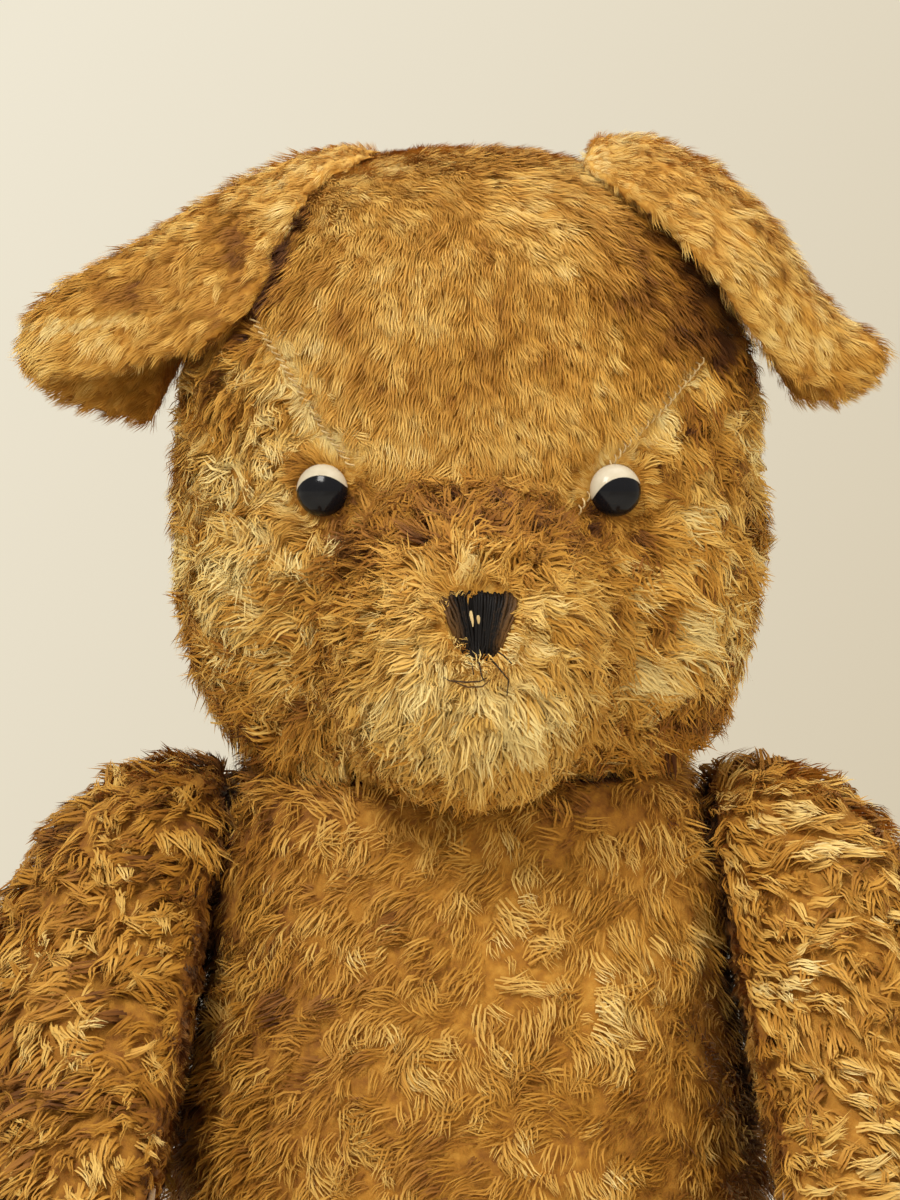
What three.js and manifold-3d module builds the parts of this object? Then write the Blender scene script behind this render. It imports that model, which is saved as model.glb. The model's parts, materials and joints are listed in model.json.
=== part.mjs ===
// A large old jointed teddy bear, seated, in millimetres: +Z is up and it faces -Y.
// The origin is the middle of the flat underside of the body, and +X is the bear's own left.
// Each stuffed part is one solid, its mohair cover and the wood wool packed inside it.
// The pile of the mohair stands outside these shapes.
import * as THREE from "three";
import { mergeVertices } from "three/addons/utils/BufferGeometryUtils.js";
import Module from "manifold-3d";

const wasm = await Module();
wasm.setup();

const GAP = 0.3; // clear space between pieces that lie against each other

// Disc joints. A disc is a half turn of hardboard in each part, with a washer and a split pin.
const NECK = { z: 263, tilt: 12, disc: 34, clear: 1 };
const SHOULDER = { x: 84, z: 215, tilt: 9.5, disc: 24, clear: 1.2 };
const HIP = { x: 97, z: 45, splay: 9, disc: 27, clear: 1.2 };
const COVER = 2.2; // cloth between a disc and the joint face
const DISC_RIM = { top: 3, low: 9, deep: 20 }; // the body's side, pulled flat over a disc
const DISC_THICK = 3;
const DISC_BORE = 2.5;
const WASHER = { radius: 10, bore: 2.4, thick: 1.2 };
const PIN_WIRE = 0.9;
const PIN_SPREAD = 1.05; // each leg of the split pin stands this far off the axis
const PIN_ROOM = 10; // depth of the hollow in the stuffing around the pin's end
const DISC_SIDES = 14;

// The body, from the seat up: height, half width, half depth, shift back, tilt in degrees.
const BODY_RINGS = [
  [0, 62, 52, 0, 0],
  [6, 78, 66, -1, 0],
  [20, 90, 78, -3, 0],
  [45, 95, 86, -5, 0],
  [80, 96, 90, -6, 0],
  [114, 97.5, 89, -6, 0],
  [160, 91, 82, -4, 1],
  [194, 85.5, 75, -2, 3],
  [215, 82.2, 70, -1, 5],
  [234, 78.5, 66, 0, 8],
  [248, 76.5, 63, 0, 10.5],
  [257, 74, 60, 0, 12],
  [262, 66, 53, 0, 12],
];
const BODY_SQUARENESS = 2.3;
const HIP_FLAT = { deep: 40, long: 62, low: -46, high: 58 };

// The head is a squarish skull run smoothly into a round muzzle.
const SKULL = { y: 2, z: 352, wide: 95, front: 73, back: 73, up: 108, down: 125, power: 2.5 };
const MUZZLE = { y: -72, z: 297, wide: 41, deep: 47, tall: 48 };
const MUZZLE_BLEND = 14;
const HEAD_HEART = 74; // the head is swept out from a point this far up the neck axis
const BASE_ROUNDING = 7;
const HEAD_AROUND = 32;
const HEAD_ROWS = 21;

// Glass eyes, flat-backed domes on a wire loop, turned a little outward.
const EYE = { x: 46.8, z: 346.5, radius: 8.35, front: 5.8, back: 3, out: 1.2, turn: 14, lift: 2 };
const EYE_LOOP_ROOM = { radius: 3.8, depth: 13 };
const LOOP_WIRE = 0.6;

// Nose and mouth, stitched in thread.
const NOSE = { x: 3.8, z: 305, proud: 1.6, back: -111 };
const NOSE_OUTLINE = [
  [-11.7, 7.6],
  [-8.4, 10.6],
  [0, 11.6],
  [8.4, 10.4],
  [11.5, 7.4],
  [10.6, 0],
  [8, -6.5],
  [4.3, -10.8],
  [0, -12.7],
  [-4.1, -11.8],
  [-7.8, -6],
  [-10.8, 0.9],
];
const MOUTH = { points: [[-6.6, 287.2], [-2.4, 286.1], [1.9, 285.8], [5.6, 286.4]], thread: 0.8 };

// Ears, large and flopped. Each line is one step from the sewn end to the tip, as the front
// rim, the fold along the top and the back rim.
const EAR_THICK = 7;
const RIGHT_EAR = [
  [[-29, -24, 449], [-27, -10, 455.5], [-30, 10, 452]],
  [[-40, -33, 441], [-40, -9, 458], [-48, 20, 443]],
  [[-57, -45, 424], [-56, -10, 454], [-68, 26, 428]],
  [[-71, -51, 404], [-74, -12, 446], [-86, 25, 409]],
  [[-84, -49, 394], [-88, -14, 438], [-98, 17, 386]],
  [[-100, -40, 390], [-105, -15, 428], [-106, 8, 369]],
  [[-122, -29, 385], [-124, -14, 418], [-120, 0, 371]],
  [[-139, -19, 384], [-139, -12, 408], [-135, -5, 379]],
  [[-146, -14, 389], [-146, -11, 400], [-144, -8, 387]],
];
const LEFT_EAR = [
  [[36, -26, 452], [41, -10, 461], [40, 10, 455]],
  [[47, -35, 445], [58, -9, 461], [57, 20, 447]],
  [[63, -46, 433], [80, -11, 451], [76, 26, 431]],
  [[79, -50, 416], [99, -13, 433], [94, 25, 407]],
  [[90, -45, 399], [111, -14, 413], [102, 16, 389]],
  [[103, -35, 384], [122, -13, 402], [109, 4, 377]],
  [[119, -24, 378], [132, -12, 396], [120, -4, 375]],
  [[130, -17, 382], [137, -12, 391], [130, -9, 381]],
];

// Limbs lie flat against the body. Each ring: along the limb, half width, thickness, bend.
const ARM_SWING = 39; // the arms hang forward by this much, just clear of the thighs
const ARM_PIVOT = 40;
const ARM_RINGS = [
  [1.5, 10, 10, 0],
  [7, 22, 27, 0],
  [19, 33, 45, 0],
  [40, 40, 59, 0],
  [70, 41, 66, 0],
  [110, 39.5, 65, 0],
  [150, 35.5, 58, 2],
  [180, 31.5, 50, 6],
  [200, 26.5, 42, 11],
  [212, 19, 30, 15],
  [218, 9, 15, 17],
];
const LEG_PIVOT = 45;
const LEG_RINGS = [
  [1.5, 12, 12, 0],
  [8, 25, 34, 0],
  [22, 38, 54, 0],
  [45, 46, 65, 0],
  [80, 46, 68, 0],
  [120, 43.5, 66, -3],
  [160, 39, 62, -7],
  [200, 35, 56, -10.5],
  [226, 34.5, 54, -11],
  [244, 43, 57, -2],
  [258, 53, 59, 8],
  [274, 56, 58, 11],
  [285, 50, 52, 11],
];
const LEG_UNDERSIDE = 45;
const LIMB_CORE = 0.38; // where the round side of a limb is centred, as a part of its thickness
const LIMB_AROUND = 20;

// Felt pads, let into the paws and the soles.
const PAW_PAD = { along: 187, bend: 7, halfLong: 23, halfWide: 19, thick: 1.6 };
const FOOT_PAD = { bend: 11, out: 21, halfTall: 39, halfWide: 21, thick: 1.8, proud: 0.4 };

const MATERIALS = {
  mohair: { color: 0xb98a4c, roughness: 0.95, metalness: 0 },
  felt: { color: 0xa9855a, roughness: 0.95, metalness: 0 },
  glass: { color: 0xe9e2cf, roughness: 0.08, metalness: 0 },
  thread: { color: 0x1b1512, roughness: 0.7, metalness: 0 },
  hardboard: { color: 0x7d5a36, roughness: 0.8, metalness: 0 },
  steel: { color: 0x8d8a85, roughness: 0.45, metalness: 1 },
};
for (const [name, look] of Object.entries(MATERIALS)) {
  MATERIALS[name] = new THREE.MeshStandardMaterial(look);
}

const bear = new THREE.Group();
const radians = THREE.MathUtils.degToRad;
const point = (x, y, z) => new THREE.Vector3(x, y, z);

// ---- making and joining solids ----

function facesOf(shape) {
  const bare = shape.clone();
  bare.deleteAttribute("normal");
  bare.deleteAttribute("uv");
  const merged = mergeVertices(bare);
  const faces = [];
  for (let i = 0; i < merged.index.count; i += 3) {
    const [a, b, c] = merged.index.array.slice(i, i + 3);
    if (a !== b && b !== c && c !== a) {
      faces.push(a, b, c);
    }
  }
  return { vertProperties: merged.getAttribute("position").array, triVerts: faces };
}

function volumeOf({ vertProperties, triVerts }) {
  const corner = (i) => point().fromArray(vertProperties, 3 * triVerts[i]);
  let sum = 0;
  for (let i = 0; i < triVerts.length; i += 3) {
    sum += corner(i).dot(corner(i + 1).cross(corner(i + 2)));
  }
  return sum / 6;
}

// A closed shape as a solid with its faces pointing out.
function solid(shape) {
  const faces = facesOf(shape);
  if (volumeOf(faces) < 0) {
    faces.triVerts.reverse();
  }
  const vertProperties = new Float32Array(faces.vertProperties);
  const triVerts = new Uint32Array(faces.triVerts);
  return new wasm.Manifold(new wasm.Mesh({ numProp: 3, vertProperties, triVerts }));
}

function shapeOf(body) {
  const { vertProperties, triVerts } = body.getMesh();
  const shape = new THREE.BufferGeometry();
  shape.setAttribute("position", new THREE.BufferAttribute(vertProperties, 3));
  shape.setIndex(new THREE.BufferAttribute(triVerts, 1));
  shape.computeVertexNormals();
  return shape;
}

function add(parent, name, body, material) {
  const mesh = new THREE.Mesh(shapeOf(body), MATERIALS[material]);
  mesh.name = name;
  parent.add(mesh);
  return mesh;
}

// A closed skin of rows of points, the first and last row each a single point.
function wrap(around, rows, pointAt) {
  const shape = new THREE.SphereGeometry(1, around, rows);
  const points = shape.getAttribute("position");
  for (let i = 0; i < points.count; i += 1) {
    const row = Math.floor(i / (around + 1));
    const step = (i % (around + 1)) % around;
    const p = pointAt(row, (step / around) * 2 * Math.PI);
    points.setXYZ(i, p.x, p.y, p.z);
  }
  return shape;
}

// A skin through a list of rings, closed with a flat fan at each end.
function loft(around, rings, pointOn, middleOf) {
  return wrap(around, rings.length + 1, (row, angle) => {
    const ring = rings[THREE.MathUtils.clamp(row - 1, 0, rings.length - 1)];
    const atEnd = row === 0 || row > rings.length;
    return atEnd ? middleOf(ring) : pointOn(ring, angle);
  });
}

// A turned shape about the Z axis from [radius, height] pairs.
function turned(profile, sides) {
  const points = profile.map(([radius, height]) => new THREE.Vector2(radius, height));
  return new THREE.LatheGeometry(points, sides).rotateX(Math.PI / 2);
}

// Round wire bent along a smooth line in the XZ plane or in space.
function wire(points, radius, steps, sides, closed = false) {
  const path = new THREE.CatmullRomCurve3(points, closed);
  const section = new THREE.Shape();
  for (let i = 0; i < sides; i += 1) {
    const angle = (i / sides) * 2 * Math.PI;
    const corner = [radius * Math.cos(angle), radius * Math.sin(angle)];
    if (i === 0) {
      section.moveTo(...corner);
    } else {
      section.lineTo(...corner);
    }
  }
  return new THREE.ExtrudeGeometry(section, { steps, extrudePath: path });
}

// A flat oval plate, its thickness along +Z.
function oval(halfWide, halfTall, thick) {
  const outline = new THREE.Shape();
  outline.absellipse(0, 0, halfWide, halfTall, 0, 2 * Math.PI);
  return new THREE.ExtrudeGeometry(outline, { depth: thick, bevelEnabled: false, curveSegments: 11 });
}

function softMin(a, b, reach) {
  const near = Math.max(reach - Math.abs(a - b), 0) / reach;
  return Math.min(a, b) - (near * near * reach) / 4;
}

// ---- disc joints ----

// Where a joint sits: its Z axis points from the body into the limb or head.
function jointFrame(position, axis) {
  const turn = new THREE.Quaternion().setFromUnitVectors(point(0, 0, 1), axis);
  return new THREE.Matrix4().compose(position, turn, point(1, 1, 1));
}

function shoulderFrame(side) {
  const lean = radians(SHOULDER.tilt);
  const axis = point(side * Math.cos(lean), 0, Math.sin(lean));
  return jointFrame(point(side * SHOULDER.x, 0, SHOULDER.z), axis);
}

function hipFrame(side) {
  const splay = radians(HIP.splay);
  const axis = point(side * Math.cos(splay), Math.sin(splay), 0);
  return jointFrame(point(side * HIP.x, 0, HIP.z), axis);
}

const NECK_AXIS = point(0, -Math.sin(radians(NECK.tilt)), Math.cos(radians(NECK.tilt)));
const neckFrame = jointFrame(point(0, 0, NECK.z), NECK_AXIS);

// The hollow that one disc, its washer and the pin's end need, from the joint face into +Z.
function discHollow(disc) {
  const discTop = COVER + DISC_THICK + GAP;
  const end = discTop + WASHER.thick + PIN_ROOM;
  const profile = [
    [0, -4],
    [DISC_BORE + 0.2, -4],
    [DISC_BORE + 0.2, COVER - GAP],
    [disc + GAP + 0.1, COVER - GAP],
    [disc + GAP + 0.1, discTop],
    [WASHER.radius + 2, discTop],
    [WASHER.radius + 2, end],
    [0, end],
  ];
  return turned(profile, DISC_SIDES);
}

function ringPlate(radius, bore, low, thick, sides) {
  const high = low + thick;
  const profile = [[bore, low], [radius, low], [radius, high], [bore, high], [bore, low]];
  return solid(turned(profile, sides));
}

// The split pin: an eye in the body, two legs through both discs, and two curled tails.
function splitPin(clear) {
  const eye = -(clear + COVER + DISC_THICK + WASHER.thick + 3 * GAP);
  const tail = COVER + DISC_THICK + WASHER.thick + 2 * GAP + PIN_WIRE;
  const half = [
    [8.2, tail + 0.3],
    [7, tail + 2.6],
    [4.4, tail + 3.6],
    [2, tail + 2.2],
    [PIN_SPREAD, tail],
    [PIN_SPREAD, (tail + eye) / 2],
    [PIN_SPREAD, eye],
    [3.1, eye - 2.4],
    [3.6, eye - 5],
    [2.2, eye - 7.2],
  ];
  const right = half.map(([x, z]) => point(x, 0, z));
  const left = half.map(([x, z]) => point(-x, 0, z)).reverse();
  const path = [...right, point(0, 0, eye - 8), ...left];
  return solid(wire(path, PIN_WIRE, 28, 5));
}

// Places one joint's hardware and hands back the hollow it needs in each part.
function addJoint(name, frame, { disc, clear }) {
  const mirrored = new THREE.Matrix4().makeRotationX(Math.PI).setPosition(0, 0, -clear);
  const bodySide = frame.clone().multiply(mirrored);
  const washerLow = COVER + DISC_THICK + GAP;
  const discs = ringPlate(disc, DISC_BORE, COVER, DISC_THICK, DISC_SIDES);
  const washers = ringPlate(WASHER.radius, WASHER.bore, washerLow, WASHER.thick, 10);
  const sides = [["body", bodySide], ["limb", frame]];
  for (const [side, place] of sides) {
    add(bear, `${name}_${side}_disc`, discs, "hardboard").applyMatrix4(place);
    add(bear, `${name}_${side}_washer`, washers, "steel").applyMatrix4(place);
  }
  add(bear, `${name}_pin`, splitPin(clear), "steel").applyMatrix4(frame);
  return {
    inBody: solid(discHollow(disc).applyMatrix4(bodySide)),
    inLimb: solid(discHollow(disc).applyMatrix4(frame)),
  };
}

const neck = addJoint("neck", neckFrame, NECK);
const shoulders = {
  left: addJoint("shoulder_left", shoulderFrame(1), SHOULDER),
  right: addJoint("shoulder_right", shoulderFrame(-1), SHOULDER),
};
const hips = {
  left: addJoint("hip_left", hipFrame(1), HIP),
  right: addJoint("hip_right", hipFrame(-1), HIP),
};

// ---- body ----

function bodyPoint([height, halfWide, halfDeep, back, tilt], angle) {
  const c = Math.cos(angle);
  const s = Math.sin(angle);
  const power = BODY_SQUARENESS;
  const reach = (Math.abs(c) ** power + Math.abs(s) ** power) ** (-1 / power);
  const y = halfDeep * s * reach + back;
  return point(halfWide * c * reach, y, height + y * Math.tan(radians(tilt)));
}

// The flat face that a disc pulls up out of the body's side, with its sloping rim.
function pulledFlat({ disc, clear }, frame) {
  const { top, low, deep } = DISC_RIM;
  const profile = [
    [0, -clear - deep],
    [disc + low, -clear - deep],
    [disc + low, -clear - 7],
    [disc + top + 2, -clear - 1.5],
    [disc + top, -clear],
    [0, -clear],
  ];
  return solid(turned(profile, 20).applyMatrix4(frame));
}

// The flat that a thigh presses into the body's side.
function hipFlat(side) {
  const { deep, long, low, high } = HIP_FLAT;
  const block = new THREE.BoxGeometry(deep, 2 * long, high - low);
  block.translate(side * (deep / 2 - HIP.clear), 0, (high + low) / 2);
  block.rotateZ(side * radians(HIP.splay));
  return solid(block.translate(side * HIP.x, 0, HIP.z));
}

function makeBody() {
  const rings = BODY_RINGS.toReversed();
  const middle = (ring) => point(0, ring[3], ring[0] + ring[3] * Math.tan(radians(ring[4])));
  let body = solid(loft(30, rings, bodyPoint, middle));
  for (const side of [1, -1]) {
    body = body.add(pulledFlat(SHOULDER, shoulderFrame(side)));
    body = body.add(pulledFlat(HIP, hipFrame(side)));
    body = body.subtract(hipFlat(side));
  }
  for (const joint of [neck, shoulders.left, shoulders.right, hips.left, hips.right]) {
    body = body.subtract(joint.inBody);
  }
  return body;
}

add(bear, "torso", makeBody(), "mohair");

// ---- head ----

function skullDistance(p) {
  const y = (p.y - SKULL.y) / (p.y < SKULL.y ? SKULL.front : SKULL.back);
  const z = (p.z - SKULL.z) / (p.z < SKULL.z ? SKULL.down : SKULL.up);
  const sum = Math.abs(p.x / SKULL.wide) ** SKULL.power + Math.abs(y) ** SKULL.power;
  const size = (sum + Math.abs(z) ** SKULL.power) ** (1 / SKULL.power);
  return ((size - 1) * p.distanceTo(point(0, SKULL.y, SKULL.z))) / size;
}

function muzzleDistance(p) {
  const x = p.x / MUZZLE.wide;
  const y = (p.y - MUZZLE.y) / MUZZLE.deep;
  const z = (p.z - MUZZLE.z) / MUZZLE.tall;
  const size = Math.hypot(x, y, z);
  return ((size - 1) * p.distanceTo(point(0, MUZZLE.y, MUZZLE.z))) / size;
}

// Below zero inside the head, above zero outside it.
function headDistance(p) {
  return softMin(skullDistance(p), muzzleDistance(p), MUZZLE_BLEND);
}

// How far a line from a start inside the head runs before it comes out.
function reachFrom(start, direction) {
  let inside = 30;
  let outside = 190;
  for (let i = 0; i < 40; i += 1) {
    const middle = (inside + outside) / 2;
    if (headDistance(start.clone().addScaledVector(direction, middle)) < 0) {
      inside = middle;
    } else {
      outside = middle;
    }
  }
  return inside;
}

const HEART = point(0, 0, NECK.z).addScaledVector(NECK_AXIS, HEAD_HEART);
const HEAD_SIDE = point(1, 0, 0);
const HEAD_BACK = NECK_AXIS.clone().cross(HEAD_SIDE);

function headPoint(row, angle, grow) {
  const polar = (Math.PI * row) / HEAD_ROWS;
  const direction = NECK_AXIS.clone().multiplyScalar(Math.cos(polar));
  direction.addScaledVector(HEAD_SIDE, Math.sin(polar) * Math.cos(angle));
  direction.addScaledVector(HEAD_BACK, Math.sin(polar) * Math.sin(angle));
  const drop = -direction.dot(NECK_AXIS);
  let reach = reachFrom(HEART, direction);
  if (drop > 0.05) {
    reach = softMin(reach, HEAD_HEART / drop, BASE_ROUNDING);
  }
  return HEART.clone().addScaledVector(direction, reach + grow);
}

function headShape(grow) {
  return wrap(HEAD_AROUND, HEAD_ROWS, (row, angle) => headPoint(row, angle, grow));
}

// The face of the head straight ahead at one place on it.
function frontAt(x, z) {
  const start = point(x, 20, z);
  return start.addScaledVector(point(0, -1, 0), reachFrom(start, point(0, -1, 0)));
}

// ---- eyes ----

const EYE_RINGS = 5;

// The glass as [radius, height] pairs, from the middle of its back to the top of its dome.
function glassProfile(grow) {
  const profile = [];
  for (let i = -EYE_RINGS; i <= EYE_RINGS; i += 1) {
    const angle = (i / EYE_RINGS) * (Math.PI / 2);
    const deep = (i < 0 ? EYE.back : EYE.front) + grow;
    const radius = Math.abs(i) === EYE_RINGS ? 0 : (EYE.radius + grow) * Math.cos(angle);
    profile.push([radius, deep * Math.sin(angle)]);
  }
  return profile;
}

function eyeFrame(side) {
  const turn = radians(EYE.turn);
  const lift = radians(EYE.lift);
  const axis = point(side * Math.sin(turn), -Math.cos(turn), Math.sin(lift)).normalize();
  const seat = frontAt(side * EYE.x, EYE.z).addScaledVector(axis, EYE.out);
  return jointFrame(seat, axis);
}

function eyeLoop() {
  const top = -(EYE.back + GAP);
  const bends = [[0, 0], [0, -1.8], [1.9, -3.4], [2.4, -5.6], [0.9, -7.5]];
  const back = [[-1.2, -7.4], [-2.4, -5.6], [-1.7, -3.8]];
  const path = [...bends, ...back].map(([x, z]) => point(x, 0, top + z));
  return solid(wire(path, LOOP_WIRE, 16, 5));
}

function eyeSocket(frame) {
  const glass = solid(turned(glassProfile(GAP + 0.1), 14).applyMatrix4(frame));
  const { radius, depth } = EYE_LOOP_ROOM;
  const room = [[0, -depth], [radius, -depth], [radius, 0], [0, 0]];
  return glass.add(solid(turned(room, 10).applyMatrix4(frame)));
}

function addEye(name, frame) {
  const glass = solid(turned(glassProfile(0), 14));
  add(bear, `eye_${name}`, glass, "glass").applyMatrix4(frame);
  add(bear, `eye_loop_${name}`, eyeLoop(), "steel").applyMatrix4(frame);
}

// ---- nose and mouth ----

function nosePrism(grow, back) {
  const outline = new THREE.Shape();
  NOSE_OUTLINE.forEach(([x, z], i) => {
    const size = 1 + grow / Math.hypot(x, z);
    const corner = [NOSE.x + x * size, NOSE.z + z * size];
    if (i === 0) {
      outline.moveTo(...corner);
    } else {
      outline.lineTo(...corner);
    }
  });
  const depth = 30;
  const prism = new THREE.ExtrudeGeometry(outline, { depth, bevelEnabled: false });
  return solid(prism.rotateX(Math.PI / 2).translate(0, back, 0));
}

function mouthThread(thread) {
  const path = MOUTH.points.map(([x, z]) => frontAt(x, z));
  return solid(wire(path, thread, 8, 6));
}

function makeHead() {
  let head = solid(headShape(0)).subtract(neck.inLimb);
  head = head.subtract(eyeSocket(eyeFrame(1))).subtract(eyeSocket(eyeFrame(-1)));
  head = head.subtract(nosePrism(GAP + 0.1, NOSE.back + GAP));
  return head.subtract(mouthThread(MOUTH.thread + GAP + 0.15));
}

add(bear, "head", makeHead(), "mohair");
addEye("left", eyeFrame(1));
addEye("right", eyeFrame(-1));
const noseFront = solid(headShape(NOSE.proud));
add(bear, "nose_stitching", nosePrism(0, NOSE.back).intersect(noseFront), "thread");
add(bear, "mouth_stitch", mouthThread(MOUTH.thread), "thread");

// ---- ears ----

const EAR_SAMPLES = 5;

// A point on the fold that runs from the front rim over the top to the back rim.
function foldCurve([front, top, back]) {
  const [a, b, c] = [front, top, back].map((p) => point(...p));
  const over = b.clone().multiplyScalar(2).addScaledVector(a.clone().add(c), -0.5);
  return new THREE.QuadraticBezierCurve3(a, over, c);
}

function earPoint(step, angle, along) {
  const corner = Math.round((angle / (2 * Math.PI)) * 2 * EAR_SAMPLES);
  const outer = corner < EAR_SAMPLES;
  const sample = outer ? corner : 2 * EAR_SAMPLES - 1 - corner;
  const part = sample / (EAR_SAMPLES - 1);
  const curve = foldCurve(step);
  const rim = 0.6 + 0.4 * Math.sin(Math.PI * part);
  const across = curve.getTangent(part).cross(along).normalize();
  const offset = (outer ? 1 : -1) * (EAR_THICK / 2) * rim;
  return curve.getPoint(part).addScaledVector(across, offset);
}

function makeEar(steps) {
  const along = foldCurve(steps.at(-1)).getPoint(0.5).sub(foldCurve(steps[0]).getPoint(0.5));
  const towardUp = along.normalize().multiplyScalar(Math.sign(along.x));
  const middle = (step) => foldCurve(step).getPoint(0.5);
  const on = (step, angle) => earPoint(step, angle, towardUp);
  const ear = solid(loft(2 * EAR_SAMPLES, steps, on, middle));
  return ear.subtract(solid(headShape(GAP + 0.2)));
}

add(bear, "ear_left", makeEar(LEFT_EAR), "mohair");
add(bear, "ear_right", makeEar(RIGHT_EAR), "mohair");

// ---- arms and legs ----

// The half-round section of a limb: how far out and how far across, at one angle.
function limbSection(halfWide, thick, angle) {
  const out = thick * (LIMB_CORE + (1 - LIMB_CORE) * Math.sin(angle));
  return [Math.max(out, 0), halfWide * Math.cos(angle)];
}

function armShape(side) {
  const pointOn = ([along, halfWide, thick, bend], angle) => {
    const [out, across] = limbSection(halfWide, thick, angle);
    return point(side * out, -(across + bend), ARM_PIVOT - along);
  };
  const middle = ([along, , thick, bend]) => {
    return point(side * thick * LIMB_CORE, -bend, ARM_PIVOT - along);
  };
  return loft(LIMB_AROUND, ARM_RINGS, pointOn, middle);
}

function legShape(side) {
  const pointOn = ([along, halfWide, thick, bend], angle) => {
    const [out, across] = limbSection(halfWide, thick, angle);
    return point(side * out, LEG_PIVOT - along, Math.max(across + bend, -LEG_UNDERSIDE));
  };
  const middle = ([along, , thick, bend]) => {
    return point(side * thick * LIMB_CORE, LEG_PIVOT - along, bend);
  };
  return loft(LIMB_AROUND, LEG_RINGS, pointOn, middle);
}

// A paw pad lies in the flat side of the arm, its outer face level with the mohair.
function pawPad(side, grow) {
  const { along, bend, halfLong, halfWide, thick } = PAW_PAD;
  const pad = oval(halfWide + grow, halfLong + grow, thick + 2 * grow);
  pad.rotateY(Math.PI / 2).rotateX(Math.PI / 2).rotateX(Math.PI / 2);
  pad.translate(side > 0 ? -grow : -(thick + grow), 0, 0);
  return solid(pad.rotateX(Math.PI / 2).translate(0, -bend, ARM_PIVOT - along));
}

function footPad(side, grow) {
  const { bend, out, halfTall, halfWide, thick, proud } = FOOT_PAD;
  const sole = LEG_PIVOT - LEG_RINGS.at(-1)[0];
  const pad = oval(halfWide + grow, halfTall + grow, thick + 2 * grow);
  pad.rotateX(Math.PI / 2).translate(side * out, sole - proud + thick + grow, bend);
  return solid(pad);
}

function addArm(name, side, hollow) {
  const limb = new THREE.Group();
  limb.position.set(side * SHOULDER.x, 0, SHOULDER.z);
  limb.rotation.set(-radians(ARM_SWING), -side * radians(SHOULDER.tilt), 0, "YXZ");
  limb.updateMatrix();
  const toLimb = limb.matrix.clone().invert();
  const room = solid(shapeOf(hollow).applyMatrix4(toLimb));
  const arm = solid(armShape(side)).subtract(room).subtract(pawPad(side, GAP));
  add(limb, `arm_${name}`, arm, "mohair");
  add(limb, `paw_pad_${name}`, pawPad(side, 0), "felt");
  bear.add(limb);
}

function addLeg(name, side, hollow) {
  const limb = new THREE.Group();
  limb.position.set(side * HIP.x, 0, HIP.z);
  limb.rotation.set(0, 0, side * radians(HIP.splay));
  limb.updateMatrix();
  const toLimb = limb.matrix.clone().invert();
  const room = solid(shapeOf(hollow).applyMatrix4(toLimb));
  const leg = solid(legShape(side)).subtract(room).subtract(footPad(side, GAP));
  add(limb, `leg_${name}`, leg, "mohair");
  add(limb, `foot_pad_${name}`, footPad(side, 0), "felt");
  bear.add(limb);
}

addArm("left", 1, shoulders.left.inLimb);
addArm("right", -1, shoulders.right.inLimb);
addLeg("left", 1, hips.left.inLimb);
addLeg("right", -1, hips.right.inLimb);

export default bear;
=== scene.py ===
import json
import math

import bmesh
import bpy
import numpy as np
from mathutils import Matrix, Vector
from mathutils.bvhtree import BVHTree


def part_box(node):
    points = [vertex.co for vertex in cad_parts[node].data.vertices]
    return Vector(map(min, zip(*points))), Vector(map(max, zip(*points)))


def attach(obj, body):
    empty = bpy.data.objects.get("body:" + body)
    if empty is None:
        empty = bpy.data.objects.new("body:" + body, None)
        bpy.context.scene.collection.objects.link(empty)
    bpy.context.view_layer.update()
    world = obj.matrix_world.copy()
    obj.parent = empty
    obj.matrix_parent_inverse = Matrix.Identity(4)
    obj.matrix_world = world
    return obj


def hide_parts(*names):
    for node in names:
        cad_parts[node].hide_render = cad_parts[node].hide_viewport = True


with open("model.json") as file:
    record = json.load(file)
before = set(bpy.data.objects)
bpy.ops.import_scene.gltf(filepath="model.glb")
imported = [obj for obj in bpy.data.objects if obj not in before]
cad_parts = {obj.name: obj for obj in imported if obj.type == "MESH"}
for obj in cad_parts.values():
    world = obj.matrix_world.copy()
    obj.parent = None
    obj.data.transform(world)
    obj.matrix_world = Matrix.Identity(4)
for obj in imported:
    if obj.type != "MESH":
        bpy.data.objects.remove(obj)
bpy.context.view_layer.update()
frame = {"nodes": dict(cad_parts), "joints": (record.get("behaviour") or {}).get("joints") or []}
scene = bpy.context.scene
MM = 0.001


# ---- camera, lights and floor ----
# The bear sits on a plain pale floor in a warm off-white room, lit softly from the upper left.
# The camera looks level at its face through a long lens.
camera = bpy.data.objects.new("camera", bpy.data.cameras.new("camera"))
scene.collection.objects.link(camera)
camera.location = (-0.006, -1.60, 0.345)
looked_at = Vector((-0.006, 0.0, 0.310))
to_bear = looked_at - camera.location
camera.rotation_euler = to_bear.to_track_quat("-Z", "Y").to_euler()
camera.data.sensor_fit = "HORIZONTAL"
camera.data.sensor_width = 36
picture_width = 0.300
camera.data.lens = 36 * to_bear.length / picture_width
scene.camera = camera
scene.view_settings.view_transform = "Standard"


def soft_light(name, place, aim, watts, size, colour, glint=True):
    lamp = bpy.data.lights.new(name, "AREA")
    lamp.energy = watts
    lamp.size = size
    lamp.color = colour
    light = bpy.data.objects.new(name, lamp)
    light.location = place
    light.rotation_euler = (Vector(aim) - Vector(place)).to_track_quat("-Z", "Y").to_euler()
    light.visible_camera = False
    light.visible_glossy = glint
    scene.collection.objects.link(light)


soft_light("window_light", (-0.55, -1.25, 1.45), (0, 0, 0.28), 19, 0.55, (1.0, 0.97, 0.91))
soft_light("fill_light", (1.1, -1.3, 0.7), (0, 0, 0.26), 8.5, 1.2, (1.0, 0.95, 0.88),
           glint=False)
soft_light("top_light", (0.25, -0.1, 1.6), (0, 0, 0.3), 7, 0.8, (1.0, 0.97, 0.93))


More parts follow.
